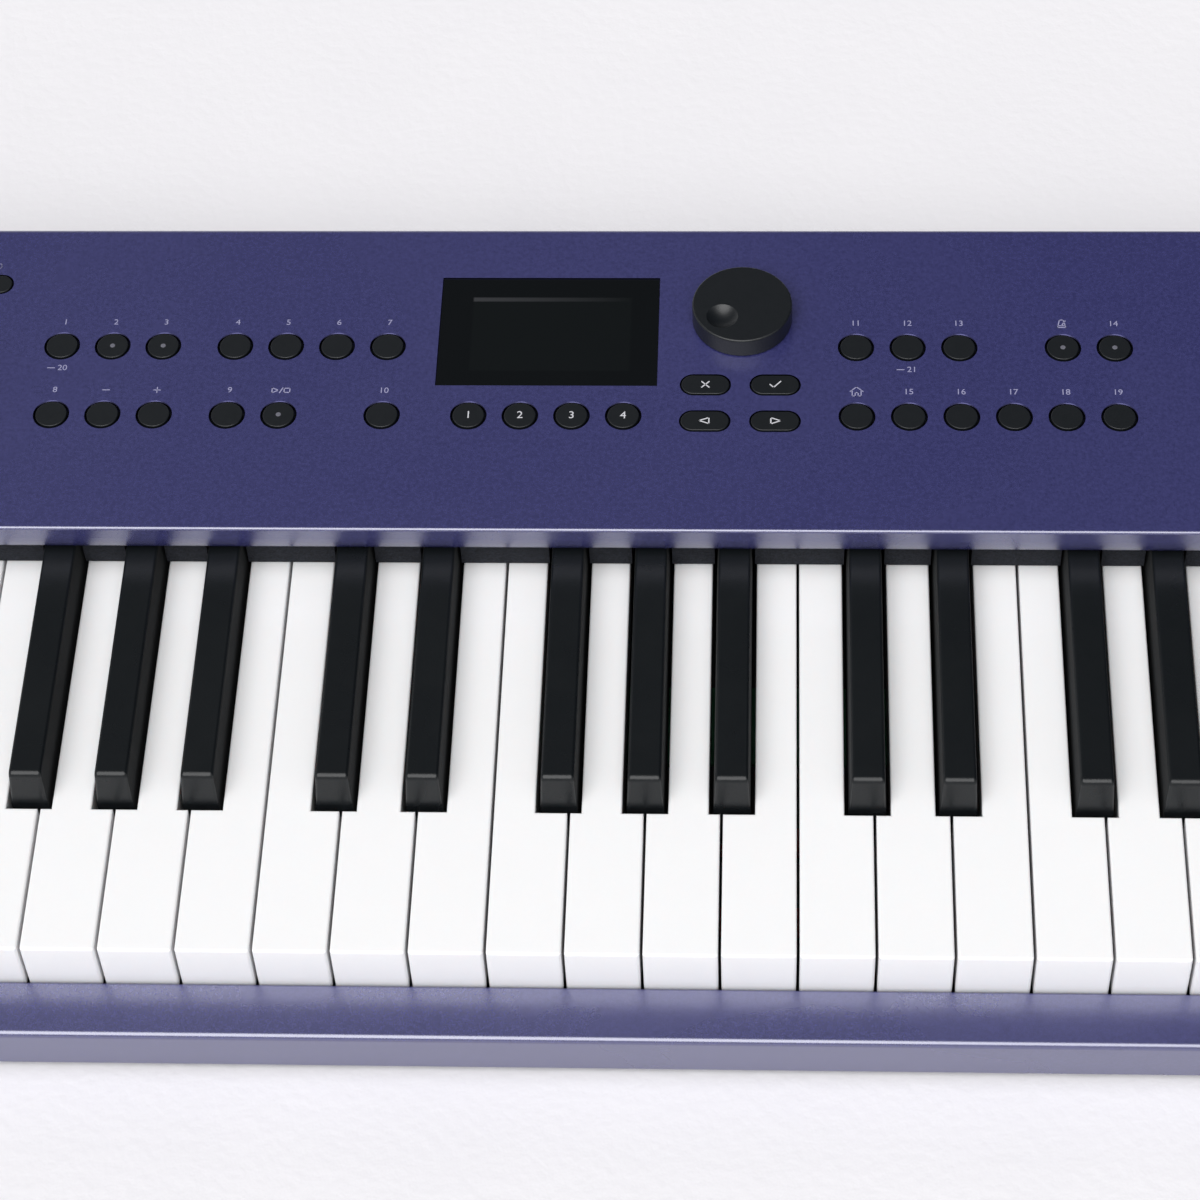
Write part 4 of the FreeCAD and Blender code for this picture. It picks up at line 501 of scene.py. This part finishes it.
by_slot = {
    "case_blue": case_blue,
    "white_key": white_key,
    "black_key": black_key,
    "control_black": moulded(
        "control_black_matte", (0.005, 0.0065, 0.0085), (0.008, 0.010, 0.0125), (0.34, 0.42), 2200, 0.15),
    "case_dark": moulded("case_dark_plastic", grey(0.012, 0.002), grey(0.020, 0.003), (0.5, 0.65), 1500, 0.3),
    "lcd_grey": moulded(
        "lcd_module_dark", (0.014, 0.018, 0.020), (0.017, 0.022, 0.024), (0.2, 0.3), 1500, 0.05),
    "board_green": moulded(
        "board_mask_green", (0.014, 0.075, 0.036), (0.024, 0.12, 0.06), (0.3, 0.45), 700, 0.2),
    "contact_rubber": moulded(
        "dome_silicone_grey", grey(0.20, 0.01), grey(0.28, 0.01), (0.6, 0.75), 1200, 0.2),
    "foot_rubber": moulded("foot_rubber_black", grey(0.008), grey(0.018), (0.75, 0.9), 900, 0.5),
    "speaker_metal": moulded("basket_paint_black", grey(0.016), grey(0.024), (0.35, 0.5), 1600, 0.2),
    "speaker_paper": moulded("cone_paper_black", grey(0.018), grey(0.045), (0.85, 1.0), 600, 0.8),
    "screw_steel": moulded(
        "screw_black_zinc", grey(0.05, 0.005), grey(0.09, 0.005), (0.3, 0.45), 1800, 0.15, 1.0),
    "spring_steel": moulded(
        "bright_spring_steel", grey(0.52, 0.02), grey(0.64, 0.02), (0.2, 0.32), 1500, 0.1, 1.0),
    "contact_metal": moulded(
        "contact_nickel", (0.62, 0.60, 0.56), (0.74, 0.72, 0.68), (0.18, 0.3), 1500, 0.1, 1.0),
    "stop_felt": moulded("stop_felt_red", (0.16, 0.018, 0.018), (0.32, 0.04, 0.04), (0.95, 1.0), 1100, 0.9),
}
print(len(by_slot), "finishes so far")

# %% [markdown]
# ## Felt
#
# A dark felt closes the slot behind the keys. Felt is matted fibre: no gloss at all, a soft relief, and
# single pale fibres among dark ones, which the raised contrast of the grain gives.

# %% Finish: key_felt
FELT_RELIEF = 0.8 * MM
FELT_COLOURS = ((0.003, 0.004, 0.006), (0.020, 0.023, 0.034))
FIBRE_RANGE = (-0.6, 1.6)
key_felt, tree = start_finish("key_felt_fibre")
grain = use_group(tree, fine_grain, Scale=900.0, Coarse=1600.0)
fibre = spread(tree, grain["Tone"], *FIBRE_RANGE)
set_shader(tree, {
    "Base Color": blend(tree, fibre, *FELT_COLOURS),
    "Roughness": 1.0,
    "Normal": relief(tree, grain["Tone"], strength=0.8, depth=FELT_RELIEF),
})
by_slot["key_felt"] = key_felt
print("finish", key_felt.name)

# %% [markdown]
# ## The display window
#
# The window is one sheet of tinted plastic. The display behind it shows as a slightly greyer field. Along
# the field's rear side a painted highlight stands for the light that the inner edge of the display's frame
# catches: it is brightest on the left, where the light comes from, and fades to the right. The field and the
# painted highlight take their places from the window's box.

# %% Finish: display_glass
FIELD_SHARES = {"Left": 0.142, "Right": 0.878, "Front": 0.135, "Back": 0.830}
FIELD_EDGE = 0.6 * MM
# Width, soft edge and colour of the painted highlight along the field's rear side.
PAINTED_HIGHLIGHT_WIDTH = 2.2 * MM
PAINTED_HIGHLIGHT_EDGE = 0.5 * MM
GLASS_COLOURS = ((0.0040, 0.0050, 0.0060), (0.0052, 0.0066, 0.0074))
PAINTED_HIGHLIGHT_COLOUR = (0.038, 0.039, 0.043)
low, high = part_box("display_window")
window = high - low
field = {
    "Left": low.x + FIELD_SHARES["Left"] * window.x, "Right": low.x + FIELD_SHARES["Right"] * window.x,
    "Front": low.y + FIELD_SHARES["Front"] * window.y, "Back": low.y + FIELD_SHARES["Back"] * window.y,
    "Edge": FIELD_EDGE,
}
# The painted highlight: a pale strip along the field's rear side, standing for light on the frame's edge.
painted_highlight_box = dict(field, Front=field["Back"] - PAINTED_HIGHLIGHT_WIDTH, Edge=PAINTED_HIGHLIGHT_EDGE)
display_glass, tree = start_finish("display_window_gloss")
smudge = use_group(tree, handling, Scale=60.0)["Smudge"]
in_field = use_group(tree, inside_box, **field)["Mask"]
in_painted_highlight = use_group(tree, inside_box, **painted_highlight_box)["Mask"]
# The painted highlight fades from left to right, as if lit from the left.
highlight_fade_to_right = spread(tree, place_axes(tree)["X"], 1.0, 0.0, field["Left"], field["Right"])
glass = blend(tree, in_field, *GLASS_COLOURS)
set_shader(tree, {
    # The glass colour, with the painted highlight laid over it.
    "Base Color": blend(tree, maths(tree, "MULTIPLY", in_painted_highlight, highlight_fade_to_right), glass, PAINTED_HIGHLIGHT_COLOUR),
    "Roughness": spread(tree, smudge, 0.06, 0.14),
    "Specular IOR Level": 0.4,
})
by_slot["display_glass"] = display_glass
print("display field", [round(field[side] / MM, 1) for side in FIELD_SHARES], "mm")

# %% [markdown]
# ## Sockets at the back
#
# The sockets are one node with five solids, all moulded in black. The two data sockets have a bright metal
# shell inside, so metal is laid where a box says so, a little behind the outer rim.

# %% Finish: connector_black
SHELLS = ((44.0 * MM, 10.5 * MM), (75.0 * MM, 13.0 * MM))
SHELL_SETBACK = 0.4 * MM
SHELL_EDGE = 0.1 * MM
low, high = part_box("rear_connectors")
connector_black, tree = start_finish("connector_plastic_metal")
grain = use_group(tree, fine_grain, Scale=1700.0, Coarse=300.0)
metal = 0.0
for middle, width in SHELLS:
    shell = use_group(
        tree, inside_box, Left=middle - width / 2, Right=middle + width / 2, Front=low.y,
        Back=high.y - SHELL_SETBACK, Low=low.z, High=high.z, Edge=SHELL_EDGE)
    metal = maths(tree, "MAXIMUM", shell["Mask"], metal)
set_shader(tree, {
    "Base Color": blend(tree, metal, grey(0.012, 0.002), grey(0.62, 0.02)),
    "Metallic": metal,
    "Roughness": spread(tree, grain["Tone"], 0.35, 0.5),
    "Normal": relief(tree, grain["Height"], strength=0.15, depth=GRAIN_DEPTH),
})
by_slot["connector_black"] = connector_black
print("metal shells in", len(SHELLS), "sockets")

# %% [markdown]
# ## Wheels
#
# The two wheels beside the keys have fine ribs across the rim, so that a thumb doesn't slip. They stand out
# by a third of a millimetre, too little to show in the outline: a wave that follows the angle round the
# axle moves the shading normal instead.

# %% Finish: wheel_rubber
RIBS_PER_TURN = 90
RIB_HEIGHT = 0.3 * MM
WHEEL_COLOURS = ((0.010, 0.011, 0.013), (0.020, 0.021, 0.023))
low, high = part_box("pitch_wheel")
axle = (low + high) / 2
wheel_rubber, tree = start_finish("wheel_ribbed_rubber")
axes = place_axes(tree)
above = maths(tree, "SUBTRACT", axes["Z"], axle.z)
behind = maths(tree, "SUBTRACT", axes["Y"], axle.y)
angle = maths(tree, "ARCTAN2", above, behind)
ribs = maths(tree, "SINE", maths(tree, "MULTIPLY", angle, RIBS_PER_TURN))
grain = use_group(tree, fine_grain, Scale=1800.0, Coarse=300.0)
set_shader(tree, {
    "Base Color": blend(tree, grain["Tone"], *WHEEL_COLOURS),
    "Roughness": spread(tree, grain["Tone"], 0.55, 0.7),
    "Normal": relief(tree, ribs, strength=0.6, depth=RIB_HEIGHT),
})
by_slot["wheel_rubber"] = wheel_rubber
print("ribs every", round(math.pi * (high.y - low.y) / RIBS_PER_TURN / MM, 2), "mm")

# %% [markdown]
# ## The volume knob
#
# The volume knob has a white line from its middle to its front rim, printed on. A box on the knob's top
# marks the line, and since it is measured on the knob itself, it turns with the knob.

# %% Finish: knob_black
POINTER_WIDTH = 0.9 * MM
POINTER_INSET = 0.8 * MM
POINTER_DEPTH = 0.4 * MM
POINTER_EDGE = 0.1 * MM
KNOB_COLOUR = (0.008, 0.009, 0.011)
low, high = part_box("volume_knob")
centre = (low + high) / 2
knob_black, tree = start_finish("knob_black_with_pointer")
grain = use_group(tree, fine_grain, Scale=2200.0, Coarse=440.0)
pointer = use_group(
    tree, inside_box, Left=centre.x - POINTER_WIDTH / 2, Right=centre.x + POINTER_WIDTH / 2,
    Front=low.y + POINTER_INSET, Back=centre.y, Low=high.z - POINTER_DEPTH, Edge=POINTER_EDGE)["Mask"]
set_shader(tree, {
    "Base Color": blend(tree, pointer, KNOB_COLOUR, grey(0.62, 0.04)),
    "Roughness": spread(tree, grain["Tone"], 0.4, 0.5),
    "Normal": relief(tree, grain["Height"], strength=0.15, depth=GRAIN_DEPTH),
})
print("pointer", round(POINTER_WIDTH / MM, 1), "mm wide")

# %% [markdown]
# ## Lay the finishes on the solids
#
# Each solid comes with one slot, and the slot's name says what it is made of. So the finishes are looked up
# by the names of the slots, and only the volume knob gets one of its own.

# %% Lay the finishes
for solid in nodes.values():
    solid.data.materials[0] = by_slot[solid.data.materials[0].name]
nodes["volume_knob"].data.materials[0] = knob_black
print(len(by_slot), "finishes on", len(nodes), "solids")

# %% [markdown]
# ## Marks on the panel
#
# On the real instrument the marks are screen printed: a film of pale lavender ink, a few hundredths of a
# millimetre thick. Here each button simply has a number, and the few buttons with a common sign keep it:
# minus and plus, play and stop, a house, a metronome, the power sign.
#
# Numbers start as text and are made into a mesh. Signs are drawn with strokes: a stroke is a flat bar from
# one point to the next, with its upright edges bevelled until the ends are round, as a pen leaves them. So
# a sign is only a list of paths, written in shares of its height.

# %% Helpers for marks
INK = 0.02 * MM
NUMBER_SIZE = 3.3 * MM
SIGN_SIZE = 2.5 * MM
STROKE_SHARE = 0.14
ROUND_SHARE = 0.48
ROUND_STEPS = 3
CURVE_STEPS = 4


def number_mark(text, x, y, z, size=NUMBER_SIZE):
    """A number printed flat, centred on a place."""
    bpy.ops.object.select_all(action="DESELECT")
    bpy.ops.object.text_add(location=(x, y, z))
    mark = bpy.context.active_object
    mark.data.body = text
    mark.data.size = size
    mark.data.extrude = INK
    mark.data.resolution_u = CURVE_STEPS
    mark.data.align_x = "CENTER"
    mark.data.align_y = "CENTER"
    bpy.ops.object.convert(target="MESH")
    return bpy.context.active_object


def stroke(start, end, width, z):
    """A flat bar with round ends from one place to another."""
    run, middle = end - start, (start + end) / 2
    bpy.ops.object.select_all(action="DESELECT")
    bpy.ops.mesh.primitive_cube_add(size=1, location=(0, 0, 0), scale=(run.length + width, width, 2 * INK))
    bar = bpy.context.active_object
    bpy.ops.object.transform_apply(location=True, rotation=True, scale=True)
    bpy.ops.object.mode_set(mode="EDIT")
    bpy.ops.mesh.select_mode(type="EDGE")
    bpy.ops.mesh.select_all(action="DESELECT")
    bpy.ops.object.mode_set(mode="OBJECT")
    for edge in bar.data.edges:
        first, second = (bar.data.vertices[n].co for n in edge.vertices)
        edge.select = abs(first.z - second.z) > INK
    bpy.ops.object.mode_set(mode="EDIT")
    bpy.ops.mesh.bevel(offset=ROUND_SHARE * width, segments=ROUND_STEPS, affect="EDGES")
    bpy.ops.object.mode_set(mode="OBJECT")
    bar.location = (middle.x, middle.y, z)
    bar.rotation_euler = (0, 0, math.atan2(run.y, run.x))
    return bar


def sign_mark(paths, x, y, z, size=SIGN_SIZE):
    """A sign drawn with strokes. Its paths are in shares of its size, from its middle."""
    centre = Vector((x, y))
    bars = []
    for path in paths:
        points = [centre + Vector(point) * size for point in path]
        bars += [stroke(start, end, STROKE_SHARE * size, z) for start, end in zip(points, points[1:])]
    return joined("sign", bars)


def joined(name, pieces):
    """One mesh from several pieces, with its place kept in the mesh."""
    bpy.ops.object.select_all(action="DESELECT")
    for piece in pieces:
        piece.select_set(True)
    bpy.context.view_layer.objects.active = pieces[0]
    if len(pieces) > 1:
        bpy.ops.object.join()
    whole = bpy.context.active_object
    bpy.ops.object.transform_apply(location=True, rotation=True, scale=True)
    whole.name = name
    return whole


def carried(piece, finish, body):
    """Gives a piece its finish and the body that it rides on."""
    piece.data.materials.clear()
    piece.data.materials.append(finish)
    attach(piece, body)
    return piece


print("helpers for marks defined")

# %% [markdown]
# The signs themselves, as a draughtsman would pencil them on squared paper. The power sign's open ring is a
# path of short straight strokes.

# %% Draw the signs
RING_SHARE = 0.55
RING_OPENING, RING_STEP = 40, 20
MINUS_SHARES = [[(-0.45, 0), (0.45, 0)]]
PLUS_SHARES = [[(-0.45, 0), (0.45, 0)], [(0, -0.45), (0, 0.45)]]
CROSS_SHARES = [[(-0.4, -0.4), (0.4, 0.4)], [(-0.4, 0.4), (0.4, -0.4)]]
TICK_SHARES = [[(-0.55, 0), (-0.15, -0.4), (0.6, 0.45)]]
LEFT_SHARES = [[(-0.6, 0), (0.45, 0.42), (0.45, -0.42), (-0.6, 0)]]
RIGHT_SHARES = [[(0.6, 0), (-0.45, 0.42), (-0.45, -0.42), (0.6, 0)]]
PLAY_STOP_SHARES = [
    [(-0.35, 0), (-1.2, 0.42), (-1.2, -0.42), (-0.35, 0)],
    [(-0.2, -0.42), (0.2, 0.42)],
    [(0.4, -0.36), (1.15, -0.36), (1.15, 0.36), (0.4, 0.36), (0.4, -0.36)],
]
HOUSE_SHARES = [
    [(-0.83, 0.05), (0, 0.82), (0.83, 0.05)],
    [(-0.58, 0.2), (-0.58, -0.72), (-0.2, -0.72), (-0.2, -0.15)],
    [(-0.2, -0.15), (0.2, -0.15), (0.2, -0.72), (0.58, -0.72), (0.58, 0.2)],
]
METRONOME_SHARES = [
    [(-0.55, -0.65), (-0.25, 0.65), (0.25, 0.65), (0.55, -0.65), (-0.55, -0.65)],
    [(-0.48, -0.35), (0.48, -0.35)],
    [(0, -0.3), (0.5, 0.5)],
]
ring = [math.radians(degrees) for degrees in range(RING_OPENING, 361 - RING_OPENING, RING_STEP)]
POWER_SHARES = [
    [(0, 0.05), (0, 0.7)],
    [(RING_SHARE * math.sin(a), RING_SHARE * math.cos(a)) for a in ring],
]
print("power sign drawn from", sum(len(path) for path in POWER_SHARES), "points")

# %% [markdown]
# The places of the buttons come from the boxes of the button rows. A row's box is as deep as one button is
# wide, flange and all, so half of its depth gives the middle of the first and of the last button. The
# columns between them follow the pitch of the panel.

# %% Print the marks on the panel
COLUMN_PITCH = 16.95 * MM
MARK_RISE = 10.5 * MM
BAR_RISE = 9.6 * MM
POWER_RISE = 8.3 * MM
panel_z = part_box("top_case")[1].z


def row_ends(name):
    """X of the first and the last button of a row, and the row's Y."""
    low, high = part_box(name)
    reach = (high.y - low.y) / 2
    return low.x + reach, high.x - reach, (low.y + high.y) / 2


def row_places(name, from_first, from_last):
    """The middles of a row's buttons, some columns counted from the first and some from the last."""
    first, last, y = row_ends(name)
    columns = [first + n * COLUMN_PITCH for n in from_first] + [last - n * COLUMN_PITCH for n in from_last]
    return [(x, y) for x in columns]


left_upper = row_places("left_upper_buttons", (0, 1, 2), (3, 2, 1, 0))
left_lower = row_places("left_lower_buttons", (0, 1, 2), (3, 2, 0))
right_upper = row_places("right_upper_buttons", (0, 1, 2), (1, 0))
right_lower = row_places("right_lower_buttons", (0, 1, 2, 3, 4, 5), ())
signs = {
    left_lower[1]: MINUS_SHARES, left_lower[2]: PLUS_SHARES, left_lower[4]: PLAY_STOP_SHARES,
    right_upper[3]: METRONOME_SHARES, right_lower[0]: HOUSE_SHARES,
}
marks = []
count = 0
for place in left_upper + left_lower + right_upper + right_lower:
    x, y = place[0], place[1] + MARK_RISE
    if place in signs:
        marks.append(sign_mark(signs[place], x, y, panel_z))
    else:
        count += 1
        marks.append(number_mark(str(count), x, y, panel_z))
for x, y in (left_upper[0], right_upper[1]):
    count += 1
    marks.append(sign_mark(MINUS_SHARES, x - SIGN_SIZE, y - BAR_RISE, panel_z))
    marks.append(number_mark(str(count), x + SIGN_SIZE / 2, y - BAR_RISE, panel_z))
low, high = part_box("power_button")
marks.append(sign_mark(POWER_SHARES, (low.x + high.x) / 2, (low.y + high.y) / 2 + POWER_RISE, panel_z))

lavender_ink = moulded("lavender_ink", (0.29, 0.285, 0.44), (0.34, 0.335, 0.50), (0.5, 0.6), 4000, 0.1)
panel_marks = carried(joined("panel_marks", marks), lavender_ink, "case")
print(panel_marks.name, len(panel_marks.data.polygons), "faces,", count, "numbers")

# %% [markdown]
# ## Print on the caps
#
# The buttons beside the display say what they do on the cap itself, in white. That print goes down with the
# button, so it rides on the button's body and not on the case.

# %% Print the caps
CAP_SIGN_SIZE = 3.0 * MM
CAP_NUMBER_SIZE = 4.2 * MM
CAP_COUNT = 4
PILL_PITCH_X = 22.8 * MM
PILL_PITCH_Y = 15.4 * MM
white_ink = moulded("white_ink", grey(0.56, 0.04), grey(0.64, 0.04), (0.5, 0.6), 4000, 0.1)

first, last, y = row_ends("function_buttons")
cap_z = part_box("function_buttons")[1].z
step = (last - first) / (CAP_COUNT - 1)
caps = [number_mark(str(n + 1), first + n * step, y, cap_z, CAP_NUMBER_SIZE) for n in range(CAP_COUNT)]
carried(joined("function_numbers", caps), white_ink, "function_buttons")

low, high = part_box("navigation_buttons")
middle = (low + high) / 2
pill_signs = ((CROSS_SHARES, -1, 1), (TICK_SHARES, 1, 1), (LEFT_SHARES, -1, -1), (RIGHT_SHARES, 1, -1))
pills = [
    sign_mark(
        paths, middle.x + side * PILL_PITCH_X / 2, middle.y + row * PILL_PITCH_Y / 2, high.z, CAP_SIGN_SIZE)
    for paths, side, row in pill_signs
]
carried(joined("navigation_signs", pills), white_ink, "navigation_buttons")
print("numbers on", len(caps), "caps, signs on", len(pills), "pills")

# %% [markdown]
# ## Lamps in the caps
#
# Five caps have a small clear window for a lamp. It is a flat lens: a short cylinder whose top face is
# inset and raised a little, so that its rim is rounded off. One lens is modelled, and the others are copies
# of it.

# %% Model one lens and copy it
LAMP_RADIUS = 0.85 * MM
LAMP_DEPTH = 0.06 * MM
LAMP_RIM = 0.2 * MM
LAMP_DOME = 0.05 * MM
LAMP_SIDES = 24
FACING_UP = 0.5

bpy.ops.object.select_all(action="DESELECT")
bpy.ops.mesh.primitive_cylinder_add(vertices=LAMP_SIDES, radius=LAMP_RADIUS, depth=LAMP_DEPTH)
lens = bpy.context.active_object
bpy.ops.object.mode_set(mode="EDIT")
bpy.ops.mesh.select_mode(type="FACE")
bpy.ops.mesh.select_all(action="DESELECT")
bpy.ops.object.mode_set(mode="OBJECT")
for face in lens.data.polygons:
    face.select = face.normal.z > FACING_UP
bpy.ops.object.mode_set(mode="EDIT")
bpy.ops.mesh.inset(thickness=LAMP_RIM, depth=LAMP_DOME)
bpy.ops.object.mode_set(mode="OBJECT")


def lens_at(x, y):
    """A copy of the lens, with its own mesh, on a cap."""
    bpy.ops.object.select_all(action="DESELECT")
    lens.select_set(True)
    bpy.context.view_layer.objects.active = lens
    bpy.ops.object.duplicate(linked=False)
    copy = bpy.context.active_object
    copy.location = (x, y, cap_z)
    return copy


lamp_clear = moulded("lamp_window_clear", grey(0.11, 0.03), grey(0.16, 0.03), (0.35, 0.45), 3000, 0.05)
lit_rows = {
    "left_upper_buttons": left_upper[1:3],
    "left_lower_buttons": left_lower[4:5],
    "right_upper_buttons": right_upper[3:5],
}
for row, places in lit_rows.items():
    lenses = [lens_at(x, y) for x, y in places]
    carried(joined(row.replace("buttons", "lamps"), lenses), lamp_clear, row)
bpy.data.objects.remove(lens)
print("lamps in", sum(len(places) for places in lit_rows.values()), "caps")

# %% [markdown]
# ## The size of the dressed keyboard
#
# The dressed keyboard must not be larger than the measured one. The box round everything that is shown,
# the floor left out, is printed in millimetres.

# %% Measure the dressed keyboard
low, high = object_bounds()
print("visual box", [round(v / MM, 1) for v in high - low], "mm")
